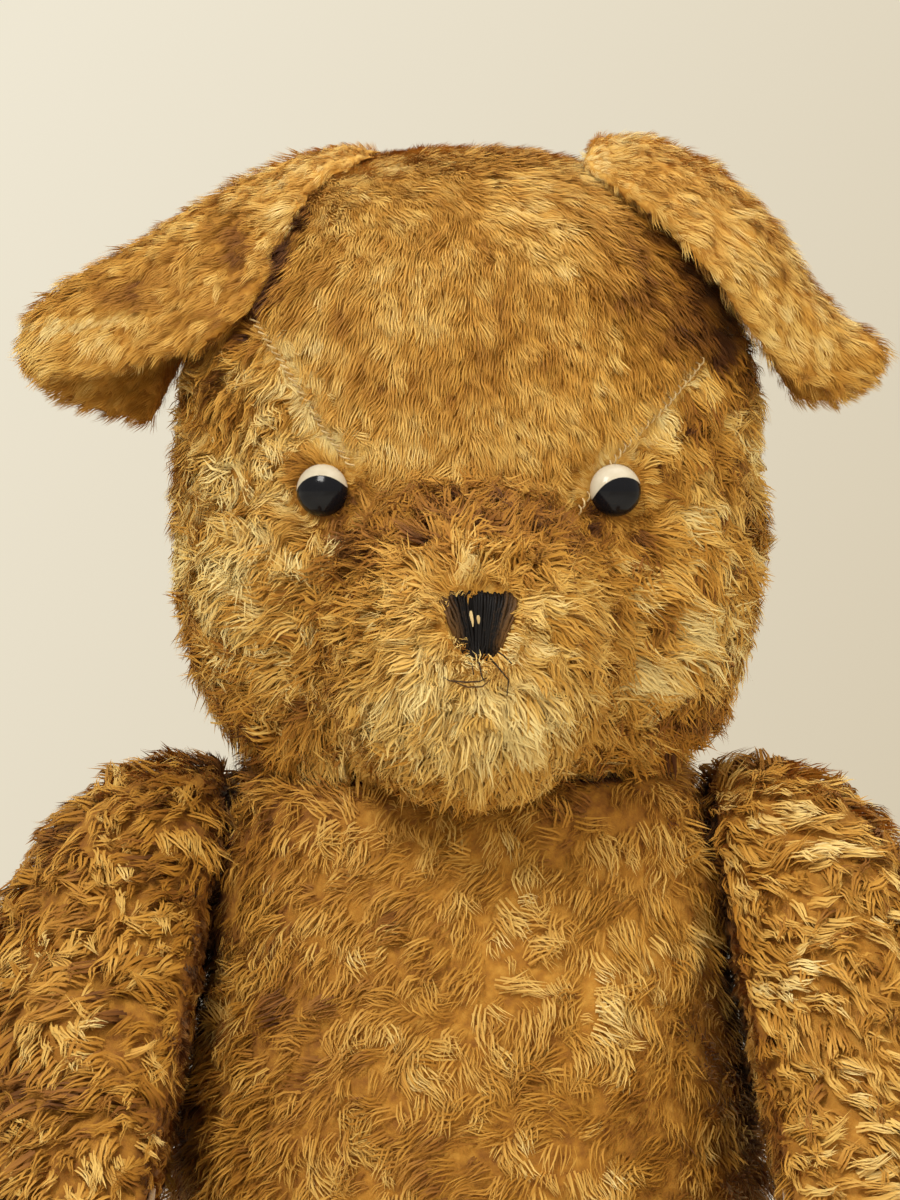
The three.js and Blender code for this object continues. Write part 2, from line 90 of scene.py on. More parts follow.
def new_material(name):
    """A new material, its nodes, its links and its main shader."""
    material = bpy.data.materials.new(name)
    material.use_nodes = True
    tree = material.node_tree
    return material, tree.nodes, tree.links, tree.nodes["Principled BSDF"]


def node_with(nodes, links, kind, sockets, **settings):
    """A node with its settings made. Each socket is given a value or another node's output."""
    node = nodes.new(kind)
    for setting, value in settings.items():
        setattr(node, setting, value)
    for socket, value in sockets.items():
        if isinstance(value, bpy.types.NodeSocket):
            links.new(value, node.inputs[socket])
        else:
            node.inputs[socket].default_value = value
    return node


def toned(nodes, links, amount, stops):
    """The colour that an amount has on a scale of (position, colour) stops."""
    scale = node_with(nodes, links, "ShaderNodeValToRGB", {"Fac": amount})
    colours = scale.color_ramp.elements
    for element, (position, colour) in zip((colours[0], colours[1]), (stops[0], stops[-1])):
        element.position, element.color = position, (*colour, 1)
    for position, colour in stops[1:-1]:
        colours.new(position).color = (*colour, 1)
    return scale.outputs["Color"]


WALL_TONES = [(0, (0.865, 0.800, 0.650)), (1, (0.650, 0.560, 0.405))]


def wall_tone(nodes, links, direction):
    """Warm off-white with painted shade that falls off towards the lower right, by the way looked
    in.
    """
    slope = node_with(nodes, links, "ShaderNodeVectorMath", {0: direction, 1: (1.0, 0, -0.75)},
                      operation="DOT_PRODUCT")
    fall = node_with(nodes, links, "ShaderNodeMapRange",
                     {"Value": slope.outputs["Value"], "From Min": -0.16, "From Max": 0.19})
    return toned(nodes, links, fall.outputs["Result"], WALL_TONES)


def soft_room():
    """Soft light from all round. The camera sees it as a bright wall, with painted shade falling
    off towards the lower right.
    """
    room = bpy.data.worlds.new("room")
    room.use_nodes = True
    nodes, links = room.node_tree.nodes, room.node_tree.links
    light = nodes["Background"]
    light.inputs["Color"].default_value = (0.90, 0.86, 0.77, 1)
    light.inputs["Strength"].default_value = 0.54
    way = nodes.new("ShaderNodeTexCoord").outputs["Generated"]
    wall = node_with(nodes, links, "ShaderNodeBackground", {"Color": wall_tone(nodes, links, way)})
    seen = nodes.new("ShaderNodeLightPath").outputs["Is Camera Ray"]
    either = node_with(nodes, links, "ShaderNodeMixShader",
                       {"Fac": seen, 1: light.outputs[0], 2: wall.outputs[0]})
    links.new(either.outputs[0], nodes["World Output"].inputs["Surface"])
    scene.world = room


FADE_START, FADE_END = 0.55, 2.4
FLOOR_RADIUS, JUST_UNDER = 14, 0.0002


def pale_floor():
    """A wide matt floor that fades, as it goes away from the bear, into a painted glow in the
    wall's tone instead of being lit.
    """
    material, nodes, links, shader = new_material("floor_paint")
    shader.inputs["Base Color"].default_value = (0.80, 0.75, 0.64, 1)
    shader.inputs["Roughness"].default_value = 0.95
    place = nodes.new("ShaderNodeTexCoord").outputs["Object"]
    away = node_with(nodes, links, "ShaderNodeVectorMath", {0: place}, operation="LENGTH")
    fade = node_with(nodes, links, "ShaderNodeMapRange",
                     {"Value": away.outputs["Value"], "From Min": FADE_START, "From Max": FADE_END},
                     interpolation_type="SMOOTHSTEP")
    sight = node_with(nodes, links, "ShaderNodeVectorMath", {0: place, 1: camera.location},
                      operation="SUBTRACT")
    way = node_with(nodes, links, "ShaderNodeVectorMath", {0: sight.outputs[0]},
                    operation="NORMALIZE")
    glow = node_with(nodes, links, "ShaderNodeEmission",
                     {"Color": wall_tone(nodes, links, way.outputs[0])})
    either = node_with(nodes, links, "ShaderNodeMixShader",
                       {"Fac": fade.outputs["Result"], 1: shader.outputs[0], 2: glow.outputs[0]})
    links.new(either.outputs[0], nodes["Material Output"].inputs["Surface"])
    disc = bmesh.new()
    bmesh.ops.create_circle(disc, cap_ends=True, segments=96, radius=FLOOR_RADIUS)
    for vert in disc.verts:
        vert.co.z = -JUST_UNDER
    mesh = bpy.data.meshes.new("floor")
    disc.to_mesh(mesh)
    disc.free()
    mesh.materials.append(material)
    floor = bpy.data.objects.new("floor", mesh)
    scene.collection.objects.link(floor)


soft_room()
pale_floor()

# ---- head cover ----
# The head is a sewn bag of mohair cloth packed hard with wood wool. Its skin is remade from the
# plain solid as an even net, less the hollow of the neck joint, and carries the pile.
joint_of = {joint["child"]: joint for joint in frame["joints"]}
HOLLOW_REACH = {"head": 36, "arm_left": 26, "arm_right": 26, "leg_left": 29, "leg_right": 29}
HOLLOW_START, HOLLOW_END = 1.0, 24


def joint_axis(child):
    """The middle of a joint, and the way from the torso into the limb, in metres."""
    joint = joint_of[child]
    middle = np.array(joint["pos_m"], float)
    axis = np.array(joint["axis"], float)
    if child != "head" and axis[0] * middle[0] < 0:
        axis = -axis
    return middle, axis / np.linalg.norm(axis)


def in_hollow(points, child, side):
    """Which points lie inside the hollow for a joint's disc, in the limb (side 1) or torso (-1)."""
    middle, axis = joint_axis(child)
    away = points - middle
    height = away @ axis
    radius = np.linalg.norm(away - np.outer(height, axis), axis=1)
    depth = height * side
    within = (depth > HOLLOW_START * MM) & (depth < HOLLOW_END * MM)
    return within & (radius < HOLLOW_REACH[child] * MM)


def closed_bag(node):
    """A merged copy of a stuffed part's solid, without its joint hollows, and closed again."""
    mesh = frame["nodes"][node].data.copy()
    bag = bmesh.new()
    bag.from_mesh(mesh)
    bmesh.ops.remove_doubles(bag, verts=bag.verts, dist=1e-6)
    points = np.array([vert.co for vert in bag.verts])
    inside = np.zeros(len(points), bool)
    for child in HOLLOW_REACH:
        if node == "torso":
            inside |= in_hollow(points, child, -1)
        elif node == child:
            inside |= in_hollow(points, child, 1)
    bag.verts.ensure_lookup_table()
    bmesh.ops.delete(bag, geom=[bag.verts[i] for i in np.flatnonzero(inside)], context="VERTS")
    rims = [edge for edge in bag.edges if edge.is_boundary]
    bmesh.ops.holes_fill(bag, edges=rims, sides=0)
    bmesh.ops.triangulate(bag, faces=bag.faces)
    bmesh.ops.recalc_face_normals(bag, faces=bag.faces)
    bag.to_mesh(mesh)
    bag.free()
    return mesh


def in_scene(name, mesh):
    thing = bpy.data.objects.new(name, mesh)
    scene.collection.objects.link(thing)
    return thing


def placed(name, mesh):
    """A new object at the origin, shaded smooth."""
    mesh.polygons.foreach_set("use_smooth", [True] * len(mesh.polygons))
    return in_scene(name, mesh)


def shaped_by_modifiers(thing):
    """The mesh that an object's modifiers make of it. The object itself is removed."""
    depsgraph = bpy.context.evaluated_depsgraph_get()
    made = bpy.data.meshes.new_from_object(thing.evaluated_get(depsgraph), depsgraph=depsgraph)
    bpy.data.objects.remove(thing)
    return made


def remade(mesh, name, grain):
    """The same closed shape as an even net of small faces."""
    rough = in_scene(name, mesh)
    net = rough.modifiers.new("net", "REMESH")
    net.mode = "VOXEL"
    net.voxel_size = grain * MM
    return shaped_by_modifiers(rough)


def gathered(items, what, width=1, kind=float):
    """A value, or a row of values where width is over 1, for each item of a mesh."""
    flat = np.empty(len(items) * width, kind)
    items.foreach_get(what, flat)
    return flat.reshape(-1, width) if width > 1 else flat


def read(mesh, what):
    return gathered(mesh.vertices, what, 3)


def relax(mesh, rounds):
    """Evens out the facets of the plain solid without shrinking it."""
    a, b = gathered(mesh.edges, "vertices", 2, int).T
    points = read(mesh, "co")
    count = np.bincount(np.concatenate([a, b]), minlength=len(points))[:, None]
    for step in range(2 * rounds):
        total = np.zeros_like(points)
        np.add.at(total, a, points[b])
        np.add.at(total, b, points[a])
        pull = 0.5 if step % 2 == 0 else -0.51
        points = points + pull * (total / np.maximum(count, 1) - points)
    mesh.vertices.foreach_set("co", points.ravel())
    mesh.update()


def keep_outer_shell(mesh):
    """Drops any small shell left inside."""
    shell = bmesh.new()
    shell.from_mesh(mesh)
    unseen = set(shell.verts)
    best = set()
    while unseen:
        group, stack = set(), [unseen.pop()]
        while stack:
            vert = stack.pop()
            group.add(vert)
            for edge in vert.link_edges:
                other = edge.other_vert(vert)
                if other in unseen:
                    unseen.discard(other)
                    stack.append(other)
        if len(group) > len(best):
            best = group
    inner = [vert for vert in shell.verts if vert not in best]
    bmesh.ops.delete(shell, geom=inner, context="VERTS")
    shell.to_mesh(mesh)
    shell.free()


def value_noise(points, size, seed):
    """Smooth noise from -1 to 1, the same on every run. Points and size are in millimetres."""
    table = np.random.default_rng(seed).uniform(-1, 1, (32, 32, 32))
    grid = points / size + 100
    low = np.floor(grid).astype(int)
    part = grid - low
    part = part * part * (3 - 2 * part)
    total = np.zeros(len(points))
    for corner in range(8):
        step = np.array([corner & 1, corner >> 1 & 1, corner >> 2 & 1])
        weight = np.prod(np.where(step, part, 1 - part), axis=1)
        x, y, z = ((low + step) % 32).T
        total += weight * table[x, y, z]
    return total


def ramp(value, low, high):
    part = np.clip((value - low) / (high - low), 0, 1)
    return part * part * (3 - 2 * part)


def settle(mesh, deep):
    """Presses in the shallow hollows where the packing has settled, except where the part rests."""
    points = read(mesh, "co") / MM
    normals = read(mesh, "normal")
    hollow = 0.5 + 0.42 * value_noise(points, 34, 2) + 0.28 * value_noise(points, 15, 9)
    hollow = np.clip(hollow, 0, 1) * ramp(points[:, 2], 1, 8)
    pressed = points - normals * (deep * hollow)[:, None]
    mesh.vertices.foreach_set("co", (pressed * MM).ravel())
    mesh.update()


def stuffed_skin(node, grain=3.4, rounds=8, deep=1.8):
    """The cover of a stuffed part, remade as a net of this grain in millimetres."""
    name = node + "_cover"
    mesh = remade(closed_bag(node), name, grain)
    keep_outer_shell(mesh)
    relax(mesh, rounds)
    settle(mesh, deep)
    mesh.name = name
    return placed(name, mesh)


head_cover = stuffed_skin("head")

# ---- head pile ----
# The mohair stands in small locks of a few hairs. They lean along the nap, swirl and part where
# they have been handled, and are worn shorter and paler on the muzzle and at the seams.
def blob(points, middle, radii):
    """1 at a patch's middle, falling smoothly towards 0 past its radii, in millimetres."""
    away = (points - np.array(middle)) / np.array(radii)
    return np.exp(-np.sum(away * away, axis=1))


def tint_patches(tint, points, patches):
    """Adds soft patches, darker or paler, to a tint: stains and wear in some lists, painted shade
    in others. A patch is an amount, a middle and its radii.
    """
    for amount, middle, radii in patches:
        tint += amount * blob(points, middle, radii)


def unit(vectors):
    return vectors / np.maximum(np.linalg.norm(vectors, axis=-1, keepdims=True), 1e-9)


def room_above(points, normals, nodes):
    """How far the neighbouring solids are from a skin, in millimetres, up to 40."""
    verts, faces = [], []
    for node in nodes:
        mesh = frame["nodes"][node].data
        mesh.calc_loop_triangles()
        faces += [tuple(len(verts) + i for i in tri.vertices) for tri in mesh.loop_triangles]
        verts += [vert.co.copy() for vert in mesh.vertices]
    tree = BVHTree.FromPolygons(verts, faces)
    room = np.full(len(points), 40.0)
    for i, (point, normal) in enumerate(zip(points, normals)):
        place = Vector(point * MM)
        ahead = tree.ray_cast(place, Vector(normal), 0.04)[3]
        near = tree.find_nearest(place, 0.04)[3]
        if ahead is not None:
            room[i] = ahead / MM
        if near is not None and near / MM < 4:
            room[i] = min(room[i], near / MM * 1.6)
    return room


def lock_of_hairs(name, hairs, rows, width, roots, tips, seed):
    """One lock, a unit long up Z, of flat hairs that face X. roots and tips set how far apart
    the hairs stand at either end."""
    chance = np.random.default_rng(seed)
    verts, faces, along, side = [], [], [], []
    for hair in range(hairs):
        turn = 2 * math.pi * (hair + chance.uniform(0, 0.6)) / hairs
        root = np.array([math.cos(turn), math.sin(turn)]) * chance.uniform(0.2, 1.0) * roots
        tip = np.array([math.cos(turn + 0.6), math.sin(turn + 0.6)])
        tip = tip * chance.uniform(0.2, 1.0) * tips
        length = chance.uniform(0.75, 1.0)
        bow = chance.uniform(0.06, 0.16)
        facing = chance.uniform(-0.4, 0.4)
        first = len(verts)
        for row in range(rows):
            part = row / (rows - 1)
            x, y = root * (1 - part) + tip * part
            x += bow * math.sin(math.pi * part * 0.9)
            half = 0.5 * width * (1 - 0.75 * part ** 2) * (0 if row == rows - 1 else 1)
            ways = (0,) if row == rows - 1 else (-1, 1)
            for way in ways:
                shift = way * half
                verts.append((x + shift * math.sin(facing), y + shift * math.cos(facing),
                              length * part))
                along.append(part)
                side.append(way)
        for row in range(rows - 2):
            a = first + 2 * row
            faces.append((a, a + 1, a + 3, a + 2))
        last = first + 2 * (rows - 2)
        faces.append((last, last + 1, last + 2))
    mesh = bpy.data.meshes.new(name)
    mesh.from_pydata(verts, [], faces)
    shape = bmesh.new()
    shape.from_mesh(mesh)
    for face in shape.faces:
        if face.normal.x < 0:
            face.normal_flip()
    shape.to_mesh(mesh)
    shape.free()
    mesh.polygons.foreach_set("use_smooth", [True] * len(mesh.polygons))
    mesh.attributes.new("along", "FLOAT", "POINT").data.foreach_set("value", along)
    mesh.attributes.new("side", "FLOAT", "POINT").data.foreach_set("value", side)
    return bpy.data.objects.new(name, mesh)


PILE_SIZES = {
    "Locks per square metre": 200000.0,
    "Lean": 0.5,
    "Swirl": 0.5,
    "Swirl size": 0.030,
    "Clump": 0.5,
    "Clump size": 0.008,
    "Stray": 0.25,
    "Curl": 0.0015,
    "Curl size": 0.009,
    "Patchiness": 0.15,
    "Mottle": 0.15,
}


def new_tree(name, inputs, output):
    """An empty Geometry Nodes tree with named inputs. Its last output is a geometry."""
    tree = bpy.data.node_groups.new(name, "GeometryNodeTree")
    for socket, kind in inputs.items():
        tree.interface.new_socket(socket, in_out="INPUT", socket_type="NodeSocket" + kind)
    tree.interface.new_socket(output, in_out="OUTPUT", socket_type="NodeSocketGeometry")
    return tree, tree.nodes, tree.links, tree.nodes.new("NodeGroupInput").outputs


def grown(name, mesh, tree, values):
    """What a Geometry Nodes tree makes of a mesh, as one plain mesh."""
    seed_bed = in_scene(name, mesh)
    growth = seed_bed.modifiers.new(tree.name, "NODES")
    growth.node_group = tree
    for socket in tree.interface.items_tree:
        if socket.in_out == "INPUT" and socket.name in values:
            growth[socket.identifier] = values[socket.name]
    made = shaped_by_modifiers(seed_bed)
    made.name = name
    return made


def pile_tree():
    """Plants locks on a skin that carries the attributes nap, pile, lift, tint and cover."""
    inputs = {"Skin": "Geometry", "Lock": "Object", "Mohair": "Material", "Seed": "Int"}
    inputs.update({name: "Float" for name in PILE_SIZES})
    tree, nodes, links, given = new_tree("mohair pile", inputs, "Pile")

    def made(kind, sockets, **settings):
        return node_with(nodes, links, kind, sockets, **settings)

    def worked(operation, a, b=0.0):
        return made("ShaderNodeMath", {0: a, 1: b}, operation=operation).outputs[0]

    def vectors(operation, a, b=(0.0, 0.0, 0.0)):
        node = made("ShaderNodeVectorMath", {0: a, 1: b}, operation=operation)
        return node.outputs["Value"] if operation == "DOT_PRODUCT" else node.outputs["Vector"]

    def scaled(vector, size):
        node = made("ShaderNodeVectorMath", {0: vector, "Scale": size}, operation="SCALE")
        return node.outputs["Vector"]

    def carried(name, kind="FLOAT"):
        node = made("GeometryNodeInputNamedAttribute", {"Name": name}, data_type=kind)
        return node.outputs["Attribute"]

    def stored(geometry, name, value, kind="FLOAT"):
        sockets = {"Geometry": geometry, "Name": name, "Value": value}
        node = made("GeometryNodeStoreNamedAttribute", sockets, data_type=kind)
        return node.outputs["Geometry"]

    def noise(size, shift):
        """A wandering vector and a level, both about zero, that change over this size."""
        place = nodes.new("GeometryNodeInputPosition").outputs[0]
        moved = vectors("ADD", place, (shift, 0.3 * shift, 0.0))
        node = made("ShaderNodeTexNoise",
                    {"Vector": moved, "Scale": worked("DIVIDE", 1.0, size), "Detail": 1.0})
        wander = scaled(vectors("SUBTRACT", node.outputs["Color"], (0.5, 0.5, 0.5)), 4.0)
        return wander, worked("MULTIPLY", worked("SUBTRACT", node.outputs[0], 0.5), 4.0)

    def seed_of(number):
        return worked("ADD", given["Seed"], float(number))

    def chance(low, high, seed):
        sockets = {2: low, 3: high, "Seed": seed_of(seed)}
        return made("FunctionNodeRandomValue", sockets).outputs[1]

    def stray_way(seed):
        sockets = {0: (-1, -1, -1), "Seed": seed_of(seed)}
        return made("FunctionNodeRandomValue", sockets, data_type="FLOAT_VECTOR").outputs[0]

    density = worked("MULTIPLY", carried("cover"), given["Locks per square metre"])
    plant = made("GeometryNodeDistributePointsOnFaces",
                 {"Mesh": given["Skin"], "Density": density, "Seed": given["Seed"]})
    normal = plant.outputs["Normal"]

    swirl, patch = noise(given["Swirl size"], 3.7)
    clump, mottle = noise(given["Clump size"], 9.1)
    way = vectors("ADD", carried("nap", "FLOAT_VECTOR"), scaled(swirl, given["Swirl"]))
    way = vectors("ADD", way, scaled(clump, given["Clump"]))
    way = vectors("ADD", way, scaled(stray_way(11), given["Stray"]))
    way = vectors("SUBTRACT", way, scaled(normal, vectors("DOT_PRODUCT", way, normal)))
    way = vectors("NORMALIZE", way)
    lift = worked("MULTIPLY", given["Lean"], chance(0.6, 1.4, 21))
    lift = worked("MULTIPLY", lift, carried("lift"))
    way = vectors("NORMALIZE", vectors("ADD", way, scaled(normal, lift)))

    tint = worked("ADD", carried("tint"), worked("MULTIPLY", patch, given["Patchiness"]))
    tint = worked("ADD", tint, worked("MULTIPLY", mottle, given["Mottle"]))
    tint = worked("ADD", tint, chance(-0.055, 0.055, 31))
    points = stored(plant.outputs["Points"], "tint", tint)
    points = stored(points, "out", normal, "FLOAT_VECTOR")

    face = vectors("ADD", normal, scaled(stray_way(51), 0.5))
    turn = made("FunctionNodeAxesToRotation", {"Primary Axis": way, "Secondary Axis": face},
                primary_axis="Z", secondary_axis="X")

    lock = made("GeometryNodeObjectInfo", {"Object": given["Lock"]})
    length = worked("MULTIPLY", carried("pile"), chance(0.7, 1.25, 41))
    size = made("ShaderNodeCombineXYZ", {0: length, 1: length, 2: length})
    grow = made("GeometryNodeInstanceOnPoints",
                {"Points": points, "Instance": lock.outputs["Geometry"],
                 "Rotation": turn.outputs["Rotation"], "Scale": size.outputs[0]})
    real = made("GeometryNodeRealizeInstances", {"Geometry": grow.outputs["Instances"]})
    curl, _ = noise(given["Curl size"], 5.3)
    reach = worked("MULTIPLY", worked("POWER", carried("along"), 1.5), given["Curl"])
    bend = made("GeometryNodeSetPosition",
                {"Geometry": real.outputs["Geometry"], "Offset": scaled(curl, reach)})
    dye = made("GeometryNodeSetMaterial",
               {"Geometry": bend.outputs["Geometry"], "Material": given["Mohair"]})
    made("NodeGroupOutput", {0: dye.outputs["Geometry"]})
    return tree


PILE_TREE = pile_tree()
# Dye colours on a scale of tint. Tints lowered for painted shade take the darker colours here.
MOHAIR_DYES_AND_SHADE = [
    (0.00, (0.075, 0.022, 0.004)),
    (0.22, (0.245, 0.088, 0.009)),
    (0.42, (0.425, 0.185, 0.018)),
    (0.60, (0.590, 0.300, 0.046)),
    (0.80, (0.745, 0.475, 0.122)),
    (1.00, (0.860, 0.670, 0.280)),
]
TIP_PALER = 0.17


def carried_value(nodes, links, name):
    """A value that the mesh carries."""
    return node_with(nodes, links, "ShaderNodeAttribute", {}, attribute_name=name).outputs["Fac"]


def scaled_sum(nodes, links, amount, size, base):
    """The amount times the size, and the base added."""
    return node_with(nodes, links, "ShaderNodeMath", {0: amount, 1: size, 2: base},
                     operation="MULTIPLY_ADD").outputs[0]


def surface(shader, values):
    for socket, value in values.items():
        shader.inputs[socket].default_value = value


def mohair(name):
    """Dyed mohair hair: its colour comes from the lock's tint, which also carries painted shade and
    light in places, and it is deeper at the root.
    """
    material, nodes, links, shader = new_material(name)
    tint, along = (carried_value(nodes, links, carried) for carried in ("tint", "along"))
    paler = scaled_sum(nodes, links, along, TIP_PALER, tint)
    links.new(toned(nodes, links, paler, MOHAIR_DYES_AND_SHADE), shader.inputs["Base Color"])
    surface(shader, {"Roughness": 0.62, "Specular IOR Level": 0.25, "Sheen Weight": 0.07,
                     "Sheen Roughness": 0.5, "Sheen Tint": (1.0, 0.86, 0.6, 1)})
    return material


HAIR = mohair("mohair_hair")
SHORT_LOCK = lock_of_hairs("short_lock", 7, 3, 0.070, 0.32, 0.30, 2)
STRAIGHT_LOCK = lock_of_hairs("straight_lock", 6, 3, 0.055, 0.22, 0.26, 3)
CURLED_LOCK = lock_of_hairs("curled_lock", 5, 4, 0.062, 0.22, 0.16, 5)
TUFT = lock_of_hairs("matted_tuft", 7, 4, 0.062, 0.22, 0.08, 7)


def give(mesh, name, values, kind="FLOAT"):
    old = mesh.attributes.get(name)
    if old:
        mesh.attributes.remove(old)
    channel = mesh.attributes.new(name, kind, "POINT")
    channel.data.foreach_set("vector" if kind == "FLOAT_VECTOR" else "value", np.ravel(values))


def pile_over(skin, name, lock, seed, coat, share=1.0, **sizes):
    """The pile of a skin, or of the share of it given by a mask, as one plain mesh."""
    mesh = skin.data.copy()
    for key in ("pile", "lift", "tint"):
        give(mesh, key, coat[key])
    give(mesh, "nap", coat["nap"], "FLOAT_VECTOR")
    give(mesh, "cover", coat["cover"] * share)
    values = {**PILE_SIZES, **sizes, "Lock": lock, "Mohair": HAIR, "Seed": seed}
    hairs = grown(name, mesh, PILE_TREE, values)
    points = read(hairs, "co")
    points[:, 2] = np.maximum(points[:, 2], 0.2 * MM)
    hairs.vertices.foreach_set("co", points.ravel())
    soften(hairs)
    lay_out(hairs)
    return in_scene(name, hairs)


def soften(hairs):
    """Turns each hair's face outwards, and lets the light treat the hairs as one soft surface."""
    out = gathered(hairs.attributes["out"].data, "vector", 3)
    ways = gathered(hairs.polygons, "normal", 3)
    first = gathered(hairs.polygons, "loop_start", kind=int)
    corners = gathered(hairs.loops, "vertex_index", kind=int)
    inward = np.sum(ways * out[corners[first]], axis=1) < 0
    turned = bmesh.new()
    turned.from_mesh(hairs)
    turned.faces.ensure_lookup_table()
    for i in np.flatnonzero(inward):
        turned.faces[i].normal_flip()
    turned.to_mesh(hairs)
    turned.free()
    hairs.polygons.foreach_set("use_smooth", [True] * len(hairs.polygons))
    blended = unit(0.5 * read(hairs, "normal") + 0.5 * out)
    hairs.normals_split_custom_set_from_vertices(blended)
    hairs.attributes.remove(hairs.attributes["out"])


def lay_out(hairs):
    """A flat map of the hairs by tint and by height along them, which is all their colour follows.
    """
    tint, side, along = (gathered(hairs.attributes[name].data, "value")
                         for name in ("tint", "side", "along"))
    tint = np.clip(tint, 0, 1) * 0.94 + 0.03 + side * 0.01
    along = along * 0.94 + 0.03
    corners = gathered(hairs.loops, "vertex_index", kind=int)
    layer = hairs.uv_layers.new(name="OFBake")
    layer.data.foreach_set("uv", np.column_stack([tint[corners], along[corners]]).ravel())


FAR = 99
NOSE_MIDDLE = (3.8, -108, 302)
EYE_PLACES = {"left": (46.8, 346.5), "right": (-46.8, 346.5)}
GUSSET_SEAMS = {"right": [(-69, 402), (-58, 385), (-46, 366), (-37, 354)],
                "left": [(75, 389), (63, 374), (50, 361), (41, 350), (34, 339)]}


def near_line(points, line):
    """How far points lie from a line of (x, z) corners, seen from the front, in millimetres."""
    flat = points[:, [0, 2]]
    best = np.full(len(points), 1e9)
    for start, end in zip(line, line[1:]):
        start, step = np.array(start, float), np.array(end, float) - np.array(start, float)
        part = np.clip((flat - start) @ step / (step @ step), 0, 1)
        best = np.minimum(best, np.linalg.norm(flat - start - np.outer(part, step), axis=1))
    return best


def head_coat():
    """How the head's pile lies at each point of its skin: the way of its nap, its length, how
    far it stands up, its tint, and how thickly it is planted."""
    points = read(head_cover.data, "co") / MM
    normals = read(head_cover.data, "normal")
    x, y, z = points.T
    front = ramp(-y, -10, 25)
    side = np.sign(x)
    nap = np.column_stack([0.25 * side, np.zeros_like(x), -np.ones_like(x)])
    crown = ramp(z, 415, 450)
    nap += np.outer(crown, (0.9, -0.3, 0.2))
    forehead = blob(points, (0, -60, 395), (48, 50, 32))
    nap += np.outer(forehead, (0.15, 0, -0.6))
    cheek = front * sum(blob(points, (way * 72, -40, 305), (30, 60, 40)) for way in (-1, 1))
    nap += np.column_stack([cheek * side * 0.9, -0.2 * cheek, 0.15 * cheek])
    from_nose = points - np.array(NOSE_MIDDLE)
    muzzle = blob(points, (0, -98, 300), (44, 40, 44))
    nap += unit(from_nose * (1, 0.6, 1)) * (2.6 * muzzle)[:, None]
    pile = 8.0 + 2.2 * front * ramp(-z, -345, -325) + 1.5 * cheek
    pile += 2.2 * blob(points, (0, -90, 268), (42, 40, 18))
    pile -= 1.5 * crown
    lift = np.full(len(points), 1.0) + 0.5 * cheek + 0.35 * muzzle - 0.35 * crown
    tint = np.full(len(points), 0.50)
    tint_patches(tint, points, [
        (-0.42, (2, -80, 335), (48, 40, 12)),
        (-0.15, (-34, -85, 326), (14, 40, 16)),
        (-0.15, (38, -85, 320), (12, 40, 16)),
        # painted light: the two pale patches at the far sides brighten the head's edges
        (0.07, (96, -10, 340), (16, 60, 60)),
        (0.08, (-96, -10, 340), (16, 60, 60)),
        (0.09, (3, -108, 320), (22, 26, 7)),
        (0.19, (4, -112, 290), (36, 26, 28)),
        (-0.14, (-42, -85, 300), (9, 40, 14)),
        (-0.12, (46, -80, 298), (12, 40, 16)),
        (-0.20, (66, -50, 268), (24, 60, 15)),
        (-0.12, (76, -40, 334), (14, 60, 12)),
        (-0.12, (-62, -50, 268), (24, 60, 9)),
        (0.10, (-78, -40, 318), (20, 45, 18)),
        (0.08, (-76, -40, 288), (20, 45, 12)),
        (0.08, (84, -40, 306), (14, 45, 16)),
        (0.09, (20, -60, 414), (14, 40, 24)),
        (-0.18, (50, -60, 424), (9, 40, 14)),
        (-0.10, (62, -60, 400), (9, 40, 18)),
        (0.08, (-45, -60, 352), (9, 30, 8)),
        (0.13, (0, -100, 274), (38, 34, 12)),
        (0.10, (62, -70, 300), (18, 40, 18)),
    ])
    tint += 0.12 * blob(points, (-86, -40, 380), (14, 60, 18))
    # painted shadow: a dark line on the head along the edge of the ear that lies over it
    from_ear_shadow = np.where(y < 0, near_line(points, [(-54, 437), (-61, 422), (-70, 404)]), FAR)
    tint -= 0.50 * (1 - ramp(from_ear_shadow, 1.5, 6))
    # painted shade under the chin
    tint -= 0.10 * ramp(-z, -262, -252)
    cover = 0.34 + 0.66 * front
    cover *= 0.55 + 0.45 * ramp(z, 252, 262)
    for eye_x, eye_z in EYE_PLACES.values():
        eye = np.array([eye_x, 0, eye_z])
        away = (points - eye) * (1, 0, 1)
        reach = np.where(y < 0, np.linalg.norm(away, axis=1), FAR)
        near = 1 - ramp(reach, 12, 22)
        nap += unit(away) * (3.0 * near)[:, None]
        pile -= (pile - 5.0) * near
        lift -= 0.35 * near
        cover *= np.where(reach < 8.6, 0, 1)
        lower = near * ramp(-away[:, 2], 2, 8)
        nap += np.outer(lower, (0, 0, 3.2))
    nose = np.linalg.norm((points - np.array([3.8, 0, 304])) * (1, 0, 1), axis=1)
    nose = np.where(y < -60, nose, FAR)
    nose_near = 1 - ramp(nose, 13, 26)
    pile -= (pile - 6.0) * nose_near
    rise = z - 305
    half_width = np.interp(rise, [-13, -9, -4, 0, 8, 11], [1.0, 6.0, 9.0, 10.8, 12.4, 10.0])
    under_nose = (np.abs(x - 3.0) < 0.92 * half_width) & (rise > -12) & (rise < 10) & (y < -60)
    cover *= np.where(under_nose, 0, 1)
    for line in GUSSET_SEAMS.values():
        away = np.where(y < 0, near_line(points, line), FAR)
        parted = 1 - ramp(away, 1.5, 6)
        run = np.array(line[-1], float) - np.array(line[0], float)
        across = np.array([-run[1], run[0]]) / np.linalg.norm(run)
        beside = np.sign((points[:, [0, 2]] - np.array(line[0])) @ across)
        nap += np.outer(beside * parted * 2.4, (across[0], 0, across[1]))
        pile -= (pile - 3.6) * parted
        tint += 0.26 * parted
        lift -= 0.2 * parted
    for middle in ((-30, -10, 452), (43, -14, 448)):
        bare = blob(points, middle, (13, 30, 9))
        pile -= 4.0 * bare
        tint += 0.12 * bare
